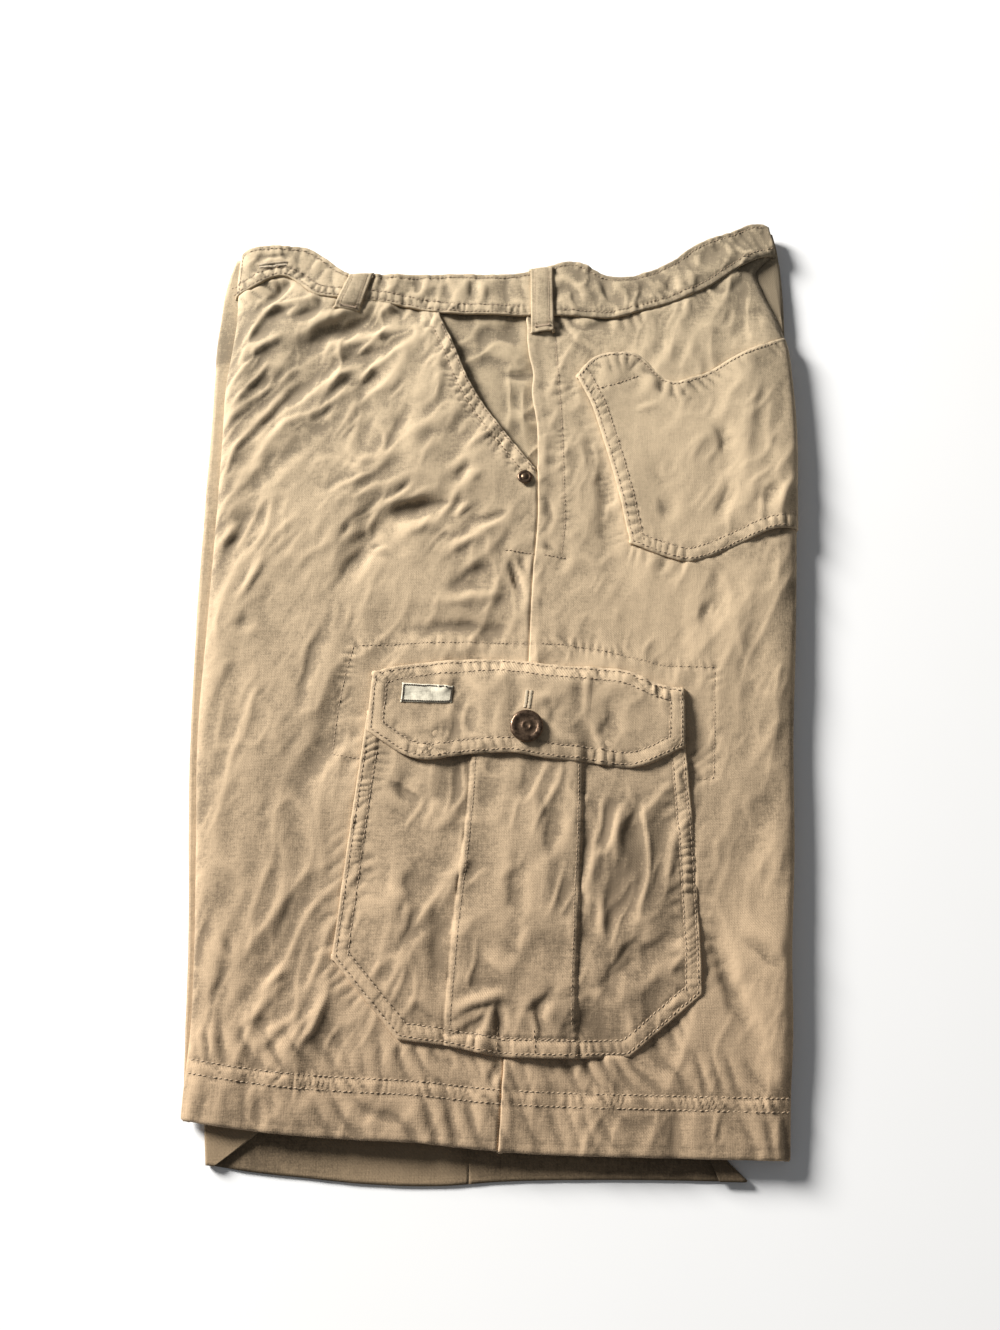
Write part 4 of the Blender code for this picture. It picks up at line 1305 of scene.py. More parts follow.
def front_panel(look):
    """Left leg's front, from the fold to the side seam and the slanted pocket mouth."""
    low = spaced(-179, -4.3, PANEL_ACROSS)
    share = (low - low[0]) / (low[-1] - low[0])
    seam = upward(SIDE_SEAM, spaced(-303, 111, PANEL_UP))
    seam[:, 0] += SEAM_UNDERLAP * ease((112 - seam[:, 1]) / 6)
    mouth = upward(POCKET_MOUTH, spaced(113, 238.6, PANEL_UP))
    right = np.concatenate([seam, mouth])
    top = across(WAIST_SEAM, -191.5 + share * 145.5)
    bottom = across(HEM, low)
    left = fold_edge("front", np.linspace(bottom[0, 1], top[0, 1], len(right)))
    right[0], right[-1] = bottom[-1] + (SEAM_UNDERLAP, 0.0), top[-1]
    top[:, 1] += PANEL_UNDER_BAND
    left[-1, 1] += PANEL_UNDER_BAND
    right[-1, 1] += PANEL_UNDER_BAND
    bottom[:, 0] += SEAM_UNDERLAP * share
    plan = patch(left, right, bottom, top)
    return sewn_cloth("front_panel_cloth", "front_panel", plan, look,
                      rise=front_lap_rise, relief=LEG_RELIEF, roll=PANEL_ROLL, tail=3.0,
                      sides=("bottom", "left", "right"))


def back_panel(look):
    """Left leg's back, from the side seam to the fold."""
    top_x = spaced(16, 198, PANEL_ACROSS)
    share = (top_x - top_x[0]) / (top_x[-1] - top_x[0])
    seam = upward(SIDE_SEAM, spaced(-303, 111, PANEL_UP))
    side = upward(SIDE_SEAM, spaced(113, 236, PANEL_UP))
    left = np.concatenate([seam, side])
    bottom = across(HEM, -4 + share * 159)
    top = across(WAIST_SEAM, top_x)
    right = fold_edge("back", np.linspace(bottom[-1, 1], top[-1, 1], len(left)))
    left[0], left[-1] = bottom[0], top[0]
    bottom[-1, 0] = right[0, 0]
    top[-1] = right[-1]
    top[:, 1] += PANEL_UNDER_BAND
    left[-1, 1] += PANEL_UNDER_BAND
    right[-1, 1] += PANEL_UNDER_BAND
    plan = patch(left, right, bottom, top)
    return sewn_cloth("back_panel_cloth", "back_panel", plan, look,
                      rise=back_lap_rise, relief=LEG_RELIEF, roll=LAP_ROLL,
                      sides=("bottom", "left", "right"))


def pocket_facing(look):
    """Cloth of the pocket bag that shows inside the slanted mouth."""
    y = spaced(104, 241, 2.0)
    left = upward(POCKET_MOUTH, np.maximum(y, 112)) - np.array([7.0, 0.0])
    right = upward(SIDE_SEAM, y) + np.array([5.0, 0.0])
    share = np.linspace(0, 1, 40)[:, None]
    bottom = left[0] + (right[0] - left[0]) * share
    top = left[-1] + (right[-1] - left[-1]) * share
    plan = patch(left, right, bottom, top)
    return sewn_cloth("pocket_facing_cloth", "pocket_facing", plan, look,
                      out=-FACING_DROP, relief=FACING_RELIEF, sides=())


def waistband(look):
    """Left half of the waistband, from the fly end to the middle of the back."""
    x = spaced(-193, 198, BAND_ACROSS)
    low = across(WAIST_SEAM, x)
    lean = np.interp(x, (-193, 198), (2.5, -3.0))
    plan = ruled(low, across(WAIST_TOP, x + lean), BAND_ROWS)
    return sewn_cloth("waistband_cloth", "waistband", plan, look,
                      out=BAND_LIFT, relief=BAND_RELIEF, roll=BAND_ROLL)


def quad_plan(corners, spacing):
    """Grid of plan points between four corners, listed round from the lower left."""
    a, b, c, d = (np.array(corner, float) for corner in corners)
    u = np.linspace(0, 1, max(4, round(np.linalg.norm(b - a) / spacing) + 1))[:, None]
    v = np.linspace(0, 1, max(4, round(np.linalg.norm(d - a) / spacing) + 1))[:, None]
    return patch(a + (d - a) * v, b + (c - b) * v, a + (b - a) * u, d + (c - d) * u)


def belt_loop(name, node, corners, look):
    """Strip over the waistband, sewn down through its turned ends, with a row along each edge."""
    plan = quad_plan(corners, LOOP_MESH)
    v = np.linspace(0, 1, plan.shape[0])[:, None]
    u = np.linspace(0, 1, plan.shape[1])[None, :]
    crown = 0.5 * np.sin(math.pi * u)
    for row in (0.17, 0.83):
        crown = crown - 0.35 * np.exp(-(((u - row) / 0.06) ** 2))
    crown = crown - 0.4 * np.exp(-(((v - 0.09) / 0.03) ** 2))
    lift = LAY + LOOP_LIFT + BAND_LIFT * ease(v / 0.2) + crown
    return sewn_cloth(name, node, plan, look,
                      out=lift, relief=LOOP_RELIEF, roll=LOOP_ROLL, tail=0.8)


def back_pocket(look):
    """Patch pocket that runs to the back fold."""
    share = spaced(0, 1, BACK_POCKET_SHARE)
    y = spaced(58, 186, BACK_POCKET_UP)
    left = upward(BACK_POCKET_SIDE, y)
    top = across(BACK_POCKET_TOP, 50 + share * 148)
    bottom = across(BACK_POCKET_BOTTOM, 82 + share * 110)
    right = fold_edge("back", np.linspace(bottom[-1, 1], top[-1, 1], len(y)))
    top[-1], bottom[-1] = right[-1], right[0]
    left[0], left[-1] = bottom[0], top[0]
    plan = patch(left, right, bottom, top)
    near_fold = 1 - ease((edge_at("back", plan[..., 1]) - plan[..., 0]) / FOLD_REACH)
    return sewn_cloth("back_pocket_cloth", "back_pocket", plan, look,
                      out=POCKET_OUT + FOLD_SLACK * near_fold, relief=BACK_POCKET_RELIEF)


def cargo_pocket(look):
    """Bellows pocket over the side seam, with cut-off lower corners and a raised box pleat."""
    bottom = np.stack([CARGO_BOTTOM["x"], CARGO_BOTTOM["y"]], axis=1)
    x = spaced(bottom[0, 0], bottom[-1, 0], CARGO_ACROSS)
    low = np.stack([x, np.interp(x, bottom[:, 0], bottom[:, 1])], axis=1)
    share = (x - x[0]) / (x[-1] - x[0])
    high = across(CARGO_TOP, -84 + share * 193)
    left = upward(CARGO_LEFT, np.linspace(-202, high[0, 1], CARGO_ROWS))
    right = upward(CARGO_RIGHT, np.linspace(-222, high[-1, 1], CARGO_ROWS))
    left[0], left[-1], right[0], right[-1] = low[0], high[0], low[-1], high[-1]
    plan = patch(left, right, low, high)
    return sewn_cloth("cargo_pocket_cloth", "cargo_pocket", plan, look,
                      out=POCKET_OUT, rise=cargo_pocket_rise, relief=CARGO_RELIEF)


def cargo_flap(look):
    """Flap of two layers, sewn above the pocket and buttoned down over it."""
    share = spaced(0, 1, FLAP_SHARE)
    high = across(FLAP_TOP, -82 + share * 193)
    low = across(FLAP_BOTTOM, -84 + share * 193)
    plan = ruled(low, high, FLAP_ROWS)
    return sewn_cloth("cargo_flap_cloth", "cargo_flap", plan, look,
                      out=FLAP_OUT, rise=flap_rise, relief=FLAP_RELIEF, roll=FLAP_ROLL)


def label(look):
    """Small blank woven tag on the flap."""
    plan = quad_plan(LABEL, LABEL_MESH)
    return sewn_cloth("label_tape", "label", plan, look,
                      out=LABEL_OUT, rise=flap_rise, relief=FLAP_RELIEF, roll=LABEL_ROLL,
                      tail=0.4, wall=LABEL_WALL)


def under_line(x):
    """Where the hem of the leg below leaves the folded layers."""
    (ax, ay), (bx, by) = UNDER_LINE
    return ay + (by - ay) * (x - ax) / (bx - ax)


def under_hem(name, node, end, side, look):
    """Open hem of the leg below, from its side seam to its fold, where the cloth is turned over."""
    v = np.linspace(0, 1, UNDER_HEM_ROWS)
    fold = np.interp(v, end["v"], end["fold"])
    turned_over = np.interp(v, end["v"], end["turned"])
    radius = UNDER_HEM_OPEN / 2
    points = []
    for share, fold_x, width in zip(v, fold, turned_over):
        centre = fold_x - side * (radius + CLOTH)
        section = [(x, CLOTH) for x in np.linspace(UNDER_SEAM_X, centre, UNDER_HEM_COLUMNS)]
        for angle in np.radians((-75, -50, -25, 0, 25, 50, 75)):
            x = centre + side * radius * math.cos(angle)
            section.append((x, CLOTH + radius + radius * math.sin(angle)))
        top = CLOTH + UNDER_HEM_OPEN
        section += [(x, top) for x in np.linspace(centre, centre - side * width, TURNED_COLUMNS)]
        row = []
        for x, z in section:
            hem = float(y_of(UNDER_HEM, x))
            row.append((x, hem + (under_line(x) + 6.0 - hem) * share, z))
        points.append(row)
    points = np.array(points)[:, ::side]
    x, y = points[..., 0], points[..., 1]
    wave = read_chart(UNDER_RELIEF, x, y)
    ripple = 0.45 * np.sin(x / 3.4 + 4 * drift(x, y, 24.0, 121))
    points[..., 2] += np.clip(0.5 + wave + ripple, 0.0, 2.0) * np.clip(v, 0.12, 1)[:, None]
    turned = np.arange(points.shape[1])[::side] >= UNDER_HEM_COLUMNS
    # Painted shade: the inside darkens towards the ends of the open leg, and the tip at the back
    # fold is dark.
    tone = np.interp(x, UNDER_SHADE_TONES["x"], UNDER_SHADE_TONES["wear"])
    tone = np.where(turned[None, :], UNDER_TURNED_TONE if side < 0 else UNDER_TIP_SHADE, tone)
    made = finished(name, grid_mesh(points, tone), look)
    shell = made.modifiers.new("wall", "SOLIDIFY")
    shell.thickness = CLOTH * MM
    shell.offset = -1.0
    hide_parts(node)
    return made


def folded_layers(look):
    """The layers that are folded away: a rounded fold for each leg, one on the other."""
    share = np.linspace(0, 1, LAYER_COLUMNS)

    def outline(front, back, inset, low, high):
        left = fold_edge(front, np.linspace(low(0)[1], high(0)[1], LAYER_ROWS)) + (inset, 0.0)
        right = fold_edge(back, np.linspace(low(1)[1], high(1)[1], LAYER_ROWS)) - (inset, 0.0)
        bottom = np.array([low(s) for s in share])
        top = np.array([high(s) for s in share])
        bottom[0], bottom[-1], top[0], top[-1] = left[0], right[0], left[-1], right[-1]
        return patch(left, right, bottom, top)

    def under_low(s):
        x = UNDER_LINE[0][0] + (UNDER_LINE[1][0] - UNDER_LINE[0][0]) * s
        return x, under_line(x)

    def under_high(s):
        x = -194 + 393 * s
        return x, float(y_of(WAIST_TOP, x)) - 2.0

    def upper_low(s):
        x = -174.5 + 329 * s
        return x, float(y_of(HEM, x)) + 4.0

    def upper_high(s):
        x = -186.5 + 377 * s
        return x, float(y_of(WAIST_TOP, x)) - 3.0

    under = outline("under_front", "under_back", 0.0, under_low, under_high)
    upper = outline("front", "back", 3.5, upper_low, upper_high)
    x, y = upper[..., 0], upper[..., 1]
    edge = np.minimum(x - edge_at("front", y), edge_at("back", y) - x)
    mouth = ease((x - x_of(POCKET_MOUTH, y) + 20) / 12) * ease((x_of(SIDE_SEAM, y) + 20 - x) / 12)
    mouth = mouth * ease((y - 92) / 12)
    drop = 3.2 + 0.6 * (1 - ease(edge / FOLD_REACH)) + 2.1 * mouth
    back_hollow = ease((x - 172) / 8) * ease((y - 236) / 12)
    front_hollow = ease((-186 - x) / 3) * ease((y - 198) / 8)
    hollow = np.maximum(back_hollow, front_hollow)
    hollow = hollow * ease((292 - y) / 6) * (1 - ease((-186 - x) / 3) * ease((y - 236) / 6))
    skin = top_height(x, y) - drop
    z = np.maximum(skin - HOLLOW_DEPTH * hollow, np.minimum(skin, HOLLOW_FLOOR))
    # Painted shade: the layers are darker in the hollows by the waistband and inside the pocket
    # mouth.
    tone = 0.5 - 0.5 * np.maximum(hollow, mouth)
    bm = grid_mesh(np.concatenate([upper, z[..., None]], axis=-1), tone)
    places = {}
    flat_upper = upper.reshape(-1, 2)
    flat_under = under.reshape(-1, 2)
    key = bm.verts.layers.int.new("place")
    for vertex in bm.verts:
        if vertex.is_boundary:
            near = np.hypot(flat_upper[:, 0] - vertex.co.x, flat_upper[:, 1] - vertex.co.y)
            vertex[key] = int(near.argmin())
            places[vertex[key]] = vertex.co.z
    rings = [("upper", *ring) for ring in UPPER_RINGS]
    rings += [("between", amount, 0.0) for amount in (0.25, 0.5, 0.72, 0.88)]
    for angle in np.radians((62, 38, 16, -8, -32, -58, -90)):
        rings.append(("under", 2.6 * (1 - math.cos(angle)), 3.0 + 2.9 * math.sin(angle)))
    edges = [edge for edge in bm.edges if edge.is_boundary]
    for kind, amount, height in rings:
        made = bmesh.ops.extrude_edge_only(bm, edges=edges)["geom"]
        edges = [part for part in made if isinstance(part, bmesh.types.BMEdge)]
        for vertex in (part for part in made if isinstance(part, bmesh.types.BMVert)):
            place = vertex[key]
            upper_at, under_at = flat_upper[place], flat_under[place]
            at = under_at if kind == "under" else upper_at
            if kind == "between":
                at = upper_at + (under_at - upper_at) * amount
            inset = 0.0 if kind == "between" else amount
            reach = np.abs(at) / LAYER_HALF_SIZE
            way = -np.sign(at) * (reach > 0.85 * np.max(reach))
            flat_at = at + way * inset
            if kind == "upper":
                level = places[place] + (UNDER_LEG_TOP + 0.1 - places[place]) * height
            elif kind == "between":
                wave = float(read_chart(UNDER_RELIEF, *flat_at))
                level = UNDER_LEG_TOP + 0.7 * wave * amount
            else:
                level = height
                flat_at = flat_at + 0.5 * float(read_chart(UNDER_RELIEF, *at)) * way
            vertex.co = (*flat_at, level)
    bmesh.ops.contextual_create(bm, geom=edges)
    bmesh.ops.recalc_face_normals(bm, faces=bm.faces)
    made = finished("folded_layers", bm, look)
    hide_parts("hidden_layers")
    return made


def turned_trim(name, node, centre, z, face, radius, height, look, steps):
    """Round metal trim spun from its profile, with its foot at a height z."""
    bm = bmesh.new()
    corners = [bm.verts.new((share * radius, 0.0, height - depth)) for share, depth in face]
    edges = [bm.edges.new(pair) for pair in zip(corners[:-1], corners[1:])]
    bmesh.ops.spin(bm, geom=corners + edges, cent=(0, 0, 0), axis=(0, 0, 1), angle=2 * math.pi,
                   steps=steps, use_merge=True)
    bmesh.ops.remove_doubles(bm, verts=bm.verts, dist=0.001)
    bmesh.ops.recalc_face_normals(bm, faces=bm.faces)
    bmesh.ops.translate(bm, vec=(centre[0], centre[1], z), verts=bm.verts)
    made = finished(name, bm, look)
    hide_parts(node)
    return made


def highest_near(centre, radius, rise=None, relief=NO_RELIEF):
    """Highest point of the surface under a round trim."""
    turn = np.linspace(0, 2 * math.pi, 17)
    x = centre[0] + np.concatenate([[0.0], radius * np.cos(turn)])
    y = centre[1] + np.concatenate([[0.0], radius * np.sin(turn)])
    points = laid(x, y, 0.0, rise, relief)[0]
    return float(points[:, 2].max())


def one_stitch(bm, at, way, normal, length, radius):
    """One stitch: a short plump capsule of thread along its direction."""
    along = Vector(way).normalized()
    up = Vector(normal)
    side = up.cross(along).normalized()
    up = along.cross(side)
    turn = Matrix((side, up, along)).transposed().to_4x4()
    size = Matrix.Diagonal((radius, radius * 0.8, length / 2, 1.0))
    bmesh.ops.create_uvsphere(bm, u_segments=6, v_segments=4, radius=1.0,
                              matrix=Matrix.Translation(Vector(at)) @ turn @ size)


def sew_row(line, out, rise, relief, seed, slant=STITCH_SLANT, pitch=STITCH_PITCH,
            length=STITCH_LENGTH, radius=STITCH_RADIUS, turn=0.0):
    """One row of stitches laid on the cloth, as a mesh of its own."""
    random = np.random.RandomState(seed)
    plan = resampled(line, pitch)
    centre = (plan[:-1] + plan[1:]) / 2
    way = plan[1:] - plan[:-1]
    angle = np.arctan2(way[:, 1], way[:, 0]) + turn + slant + 0.08 * random.normal(size=len(way))
    points, normals = laid(centre[:, 0], centre[:, 1], out + 0.35 * radius, rise, relief)
    bm = bmesh.new()
    for at, normal, a in zip(points, normals, angle):
        flat_way = np.array([math.cos(a), math.sin(a), 0.0])
        flat_way = flat_way - normal * (flat_way @ normal)
        one_stitch(bm, at, flat_way, normal, length * random.uniform(0.9, 1.08), radius)
    return bm


def stitching(name, rows, look):
    """Several rows of stitches joined into one piece."""
    joined = bmesh.new()
    for number, (line, out, rise, relief, settings) in enumerate(rows):
        bm = sew_row(line, out, rise, relief, 200 + number, **settings)
        mesh = bpy.data.meshes.new("row")
        bm.to_mesh(mesh)
        bm.free()
        joined.from_mesh(mesh)
        bpy.data.meshes.remove(mesh)
    return finished(name, joined, look)


def sew_everything(thread, tan, brown):
    """All rows of stitches, each row as its line, height out, rise, relief and kind of stitch."""
    leg = []
    for row in HEM_ROWS:
        leg.append((shifted(HEM_LINE, row), 0.0, None, LEG_RELIEF, PLAIN))
    for row in (EDGE_ROW, INNER_ROW):
        leg.append((shifted(MOUTH_LINE[:-1], row), 0.0, None, LEG_RELIEF, PLAIN))
    leg.append((SECOND_ROW[:-1], 0.0, None, LEG_RELIEF, TIGHT))
    leg.append((BAR_ACROSS_SEAM, 0.2, None, LEG_RELIEF, TIGHT))
    leg.append((PATCH_ROW, 0.0, None, LEG_RELIEF, TIGHT))
    band = []
    front = WAIST_LINE[WAIST_LINE[:, 0] < 16]
    back = WAIST_LINE[WAIST_LINE[:, 0] > 38]
    for row in BAND_ROWS_FRONT:
        band.append((shifted(front, row), BAND_LIFT, None, BAND_RELIEF, PLAIN))
    band.append((shifted(back, BAND_ROW_BACK), BAND_LIFT, None, BAND_RELIEF, PLAIN))
    top_row = shifted(WAIST_TOP_LINE[1:-1], BAND_TOP_ROW)
    band.append((top_row, BAND_LIFT, None, BAND_RELIEF, PLAIN))
    band.append((BAND_END_ROW, BAND_LIFT, None, BAND_RELIEF, PLAIN))
    holes = []
    for side in FLAP_HOLE_SIDES:
        holes.append((shifted(FLAP_BUTTONHOLE, side), HOLE_OUT, flap_rise, FLAP_RELIEF, SATIN))
    for side in WAIST_HOLE_SIDES:
        holes.append((shifted(WAIST_BUTTONHOLE, side), BAND_LIFT, None, BAND_RELIEF, SATIN))
    loops = []
    for a, b, c, d in (np.array(FRONT_LOOP, float), np.array(SIDE_LOOP, float)):
        for low, high in ((a, d), (b, c)):
            inward = (a + b - 2 * low) / np.linalg.norm(b - a) * LOOP_ROW
            row = np.array([low + inward, high + inward]) + (d - a) * [[LOOP_END], [-LOOP_END]]
            loops.append((row, LAY + LOOP_LIFT + BAND_LIFT, None, LOOP_RELIEF, TIGHT))
        foot = np.array([a, b]) + (d - a) * 0.08 + (b - a) * [[0.16], [-0.16]]
        loops.append((foot, LOOP_FOOT_OUT, None, LOOP_RELIEF, SATIN))
    cargo = []
    for row in (EDGE_ROW, INNER_ROW):
        cargo.append((shifted(CARGO_OUTLINE, row)[1:-1], PLAIN))
    for line in (PLEAT_FRONT_LINE, PLEAT_BACK_LINE):
        cargo.append((shifted(line, PLEAT_ROW)[1:-1], TIGHT))
    for line in (PLEAT_FOOT_ROW, *PLEAT_BARS):
        cargo.append((line, TIGHT))
    cargo = [(line, POCKET_OUT, cargo_pocket_rise, CARGO_RELIEF, kind) for line, kind in cargo]
    flap = []
    for row in (EDGE_ROW, INNER_ROW):
        flap.append((shifted(FLAP_ROUND, row), FLAP_OUT, flap_rise, FLAP_RELIEF, PLAIN))
    tag = np.array([*LABEL, LABEL[0]], float)
    border = [(shifted(tag, LABEL_ROW), BORDER_OUT, flap_rise, FLAP_RELIEF, BORDER)]
    pocket = []
    for line in (POCKET_SIDE_LINE, POCKET_LOW_LINE):
        for row in (EDGE_ROW, INNER_ROW):
            pocket.append((shifted(line, row), POCKET_OUT, None, BACK_POCKET_RELIEF, PLAIN))
    for line in (shifted(POCKET_HIGH_LINE, EDGE_ROW)[1:], POCKET_HEM_ROW):
        pocket.append((line, POCKET_OUT, None, BACK_POCKET_RELIEF, PLAIN))
    stitching("leg_stitching", leg, thread)
    stitching("waistband_stitching", band, thread)
    stitching("cargo_pocket_stitching", cargo, thread)
    stitching("cargo_flap_stitching", flap, thread)
    stitching("back_pocket_stitching", pocket, thread)
    stitching("belt_loop_stitching", loops, thread)
    stitching("buttonhole_stitching", holes, tan)
    stitching("label_border", border, brown)


def node_group(name, inputs, outputs):
    """Empty shader group with named inputs (name, kind, value) and outputs (name, kind)."""
    made = bpy.data.node_groups.new(name, "ShaderNodeTree")
    for title, kind, value in inputs:
        socket = made.interface.new_socket(title, in_out="INPUT", socket_type="NodeSocket" + kind)
        if value is not None:
            socket.default_value = value
    for title, kind in outputs:
        made.interface.new_socket(title, in_out="OUTPUT", socket_type="NodeSocket" + kind)
    return made, made.nodes.new("NodeGroupInput"), made.nodes.new("NodeGroupOutput")


def noise(tree, vector, scale, detail=3.0, roughness=0.5):
    """Soft noise from 0 to 1."""
    node = tree.nodes.new("ShaderNodeTexNoise")
    node.inputs["Scale"].default_value = scale
    node.inputs["Detail"].default_value = detail
    node.inputs["Roughness"].default_value = roughness
    tree.links.new(vector, node.inputs["Vector"])
    return node.outputs["Fac"]


def stretched(tree, vector, scale, turn=0.0):
    """A vector scaled differently each way, and turned about Z."""
    node = tree.nodes.new("ShaderNodeMapping")
    node.inputs["Scale"].default_value = scale
    node.inputs["Rotation"].default_value = (0.0, 0.0, turn)
    tree.links.new(vector, node.inputs["Vector"])
    return node.outputs["Vector"]


def maths(tree, operation, first, second=None, third=None, clamp=False):
    """One sum of numbers or sockets."""
    node = tree.nodes.new("ShaderNodeMath")
    node.operation = operation
    node.use_clamp = clamp
    for socket, value in zip(node.inputs, (first, second, third)):
        if value is None:
            continue
        if isinstance(value, (int, float)):
            socket.default_value = value
        else:
            tree.links.new(value, socket)
    return node.outputs[0]


def blended(tree, factor, first, second):
    """A colour between two others."""
    node = tree.nodes.new("ShaderNodeMix")
    node.data_type = "RGBA"
    sockets = (node.inputs[0], node.inputs[6], node.inputs[7])
    for socket, value in zip(sockets, (factor, first, second)):
        if isinstance(value, (int, float)):
            socket.default_value = value
        elif isinstance(value, tuple):
            socket.default_value = (*value, 1.0)
        else:
            tree.links.new(value, socket)
    return node.outputs[2]


def summed(tree, *values):
    """The sum of several sockets."""
    total = values[0]
    for value in values[1:]:
        total = maths(tree, "ADD", total, value)
    return total


def centred(tree, value, amount):
    """A noise made to swing as far below zero as above it, by half an amount."""
    return maths(tree, "MULTIPLY_ADD", value, amount, -amount / 2)


def bump_from(tree, shader, height, distance, strength=1.0):
    """Bump on a shader from a height."""
    bumped = tree.nodes.new("ShaderNodeBump")
    bumped.inputs["Distance"].default_value = distance
    bumped.inputs["Strength"].default_value = strength
    tree.links.new(height, bumped.inputs["Height"])
    tree.links.new(bumped.outputs["Normal"], shader.inputs["Normal"])


def new_look(name):
    """A material with its nodes, its main shader and the object's own coordinates."""
    made = bpy.data.materials.new(name)
    made.use_nodes = True
    tree = made.node_tree
    place = tree.nodes.new("ShaderNodeTexCoord").outputs["Object"]
    return made, tree, tree.nodes["Principled BSDF"], place


def twill_weave_group():
    """Diagonal ribs, yarns of uneven thickness, and a short nap."""
    group, given, result = node_group(
        "twill_weave",
        (("Vector", "Vector", None), ("Ribs", "Float", 400.0)),
        (("Height", "Float"), ("Yarn", "Float")),
    )
    vector = given.outputs["Vector"]
    wave = group.nodes.new("ShaderNodeTexWave")
    wave.wave_type = "BANDS"
    wave.bands_direction = "DIAGONAL"
    wave.inputs["Distortion"].default_value = 1.4
    wave.inputs["Detail"].default_value = 1.0
    wave.inputs["Detail Scale"].default_value = 0.6
    group.links.new(vector, wave.inputs["Vector"])
    group.links.new(given.outputs["Ribs"], wave.inputs["Scale"])
    up = noise(group, stretched(group, vector, (1300.0, 130.0, 300.0)), 1.0, 2.0)
    over = noise(group, stretched(group, vector, (110.0, 1100.0, 300.0)), 1.0, 2.0)
    nap = noise(group, vector, 900.0, 3.0, 0.7)
    half_up = maths(group, "MULTIPLY", up, 0.5)
    half_over = maths(group, "MULTIPLY", over, 0.5)
    yarn = summed(group, half_up, half_over)
    ribs = maths(group, "MULTIPLY", wave.outputs["Fac"], 0.45)
    thick = maths(group, "MULTIPLY", yarn, 0.9)
    height = summed(group, ribs, thick, maths(group, "MULTIPLY", nap, 0.5))
    group.links.new(height, result.inputs["Height"])
    group.links.new(yarn, result.inputs["Yarn"])
    return group


def wash_fade_and_shade_group():
    """Colour of washed cotton: blotches, mottling, yarn streaks, faded ridges and edges, and
    painted shade in troughs and patches, all from the tone it is given.
    """
    group, given, result = node_group(
        "wash_fade_and_shade",
        (
            ("Vector", "Vector", None),
            ("Yarn", "Float", 0.5),
            ("Wear", "Float", 0.5),
            ("Deep", "Color", (0.3, 0.2, 0.1, 1.0)),
            ("Cloth", "Color", (0.5, 0.4, 0.25, 1.0)),
            ("Faded", "Color", (0.6, 0.5, 0.35, 1.0)),
        ),
        (("Color", "Color"), ("Fade", "Float")),
    )
    vector = given.outputs["Vector"]
    blotch = noise(group, vector, 13.0, 3.0, 0.55)
    mottle = noise(group, vector, 85.0, 4.0, 0.6)
    speck = noise(group, vector, 420.0, 2.0, 0.6)
    grain = noise(group, vector, 1100.0, 2.0, 0.6)
    uneven = summed(
        group,
        centred(group, blotch, 0.75),
        centred(group, mottle, 0.5),
        centred(group, speck, 0.7),
        centred(group, grain, 0.8),
        centred(group, given.outputs["Yarn"], 0.9),
    )
    wear = maths(group, "MULTIPLY_ADD", given.outputs["Wear"], 1.1, -0.05)
    fade_and_shade = maths(group, "ADD", uneven, wear, clamp=True)
    low = maths(group, "MULTIPLY", fade_and_shade, 2.0, clamp=True)
    high = maths(group, "MULTIPLY_ADD", fade_and_shade, 2.0, -1.0, clamp=True)
    colour = blended(group, low, given.outputs["Deep"], given.outputs["Cloth"])
    colour = blended(group, high, colour, given.outputs["Faded"])
    group.links.new(colour, result.inputs["Color"])
    group.links.new(fade_and_shade, result.inputs["Fade"])
    return group


WEAVE = twill_weave_group()
WASH_AND_SHADE = wash_fade_and_shade_group()
# The deep colour serves both the cloth's darker blotches and painted shade; the faded one is paler
# cloth.
DEEP_SHARE = 0.54
FADED_SHARE = 1.24


def cloth_look(name, upper, lower, ribs=400.0, bump=0.0003):
    """Cotton twill from a weave bump and washed colours that turn browner towards the hems and
    lighter towards the waist, the lightening being painted light.
    """
    made, tree, shader, place = new_look(name)
    shader.inputs["Sheen Weight"].default_value = 0.05
    shader.inputs["Sheen Roughness"].default_value = 0.5
    shader.inputs["Specular IOR Level"].default_value = 0.15
    # The cloth's tone from each vertex: paler where rubbed, darker as painted shade.
    wear = tree.nodes.new("ShaderNodeAttribute")
    wear.attribute_name = "wear"
    weave = tree.nodes.new("ShaderNodeGroup")
    weave.node_tree = WEAVE
    weave.inputs["Ribs"].default_value = ribs
    tree.links.new(place, weave.inputs["Vector"])
    parts = tree.nodes.new("ShaderNodeSeparateXYZ")
    tree.links.new(place, parts.inputs["Vector"])
    # Painted light: the colours blend from the hem ones up to the lighter waist ones.
    height = maths(tree, "MULTIPLY_ADD", parts.outputs["Y"], 1.75, 0.48, clamp=True)
    colours = []
    for share in (DEEP_SHARE, 1.0, FADED_SHARE):
        low = tuple(share * value for value in lower)
        high = tuple(share * value for value in upper)
        colours.append(blended(tree, height, low, high))
    wash_and_shade = tree.nodes.new("ShaderNodeGroup")
    wash_and_shade.node_tree = WASH_AND_SHADE
    tree.links.new(place, wash_and_shade.inputs["Vector"])
    tree.links.new(weave.outputs["Yarn"], wash_and_shade.inputs["Yarn"])
    tree.links.new(wear.outputs["Fac"], wash_and_shade.inputs["Wear"])
    for title, colour in zip(("Deep", "Cloth", "Faded"), colours):
        tree.links.new(colour, wash_and_shade.inputs[title])
    tree.links.new(wash_and_shade.outputs["Color"], shader.inputs["Base Color"])
    rough = maths(tree, "MULTIPLY_ADD", wash_and_shade.outputs["Fade"], 0.12, 0.8)
    tree.links.new(rough, shader.inputs["Roughness"])
    bump_from(tree, shader, weave.outputs["Height"], bump, 0.8)
    return made


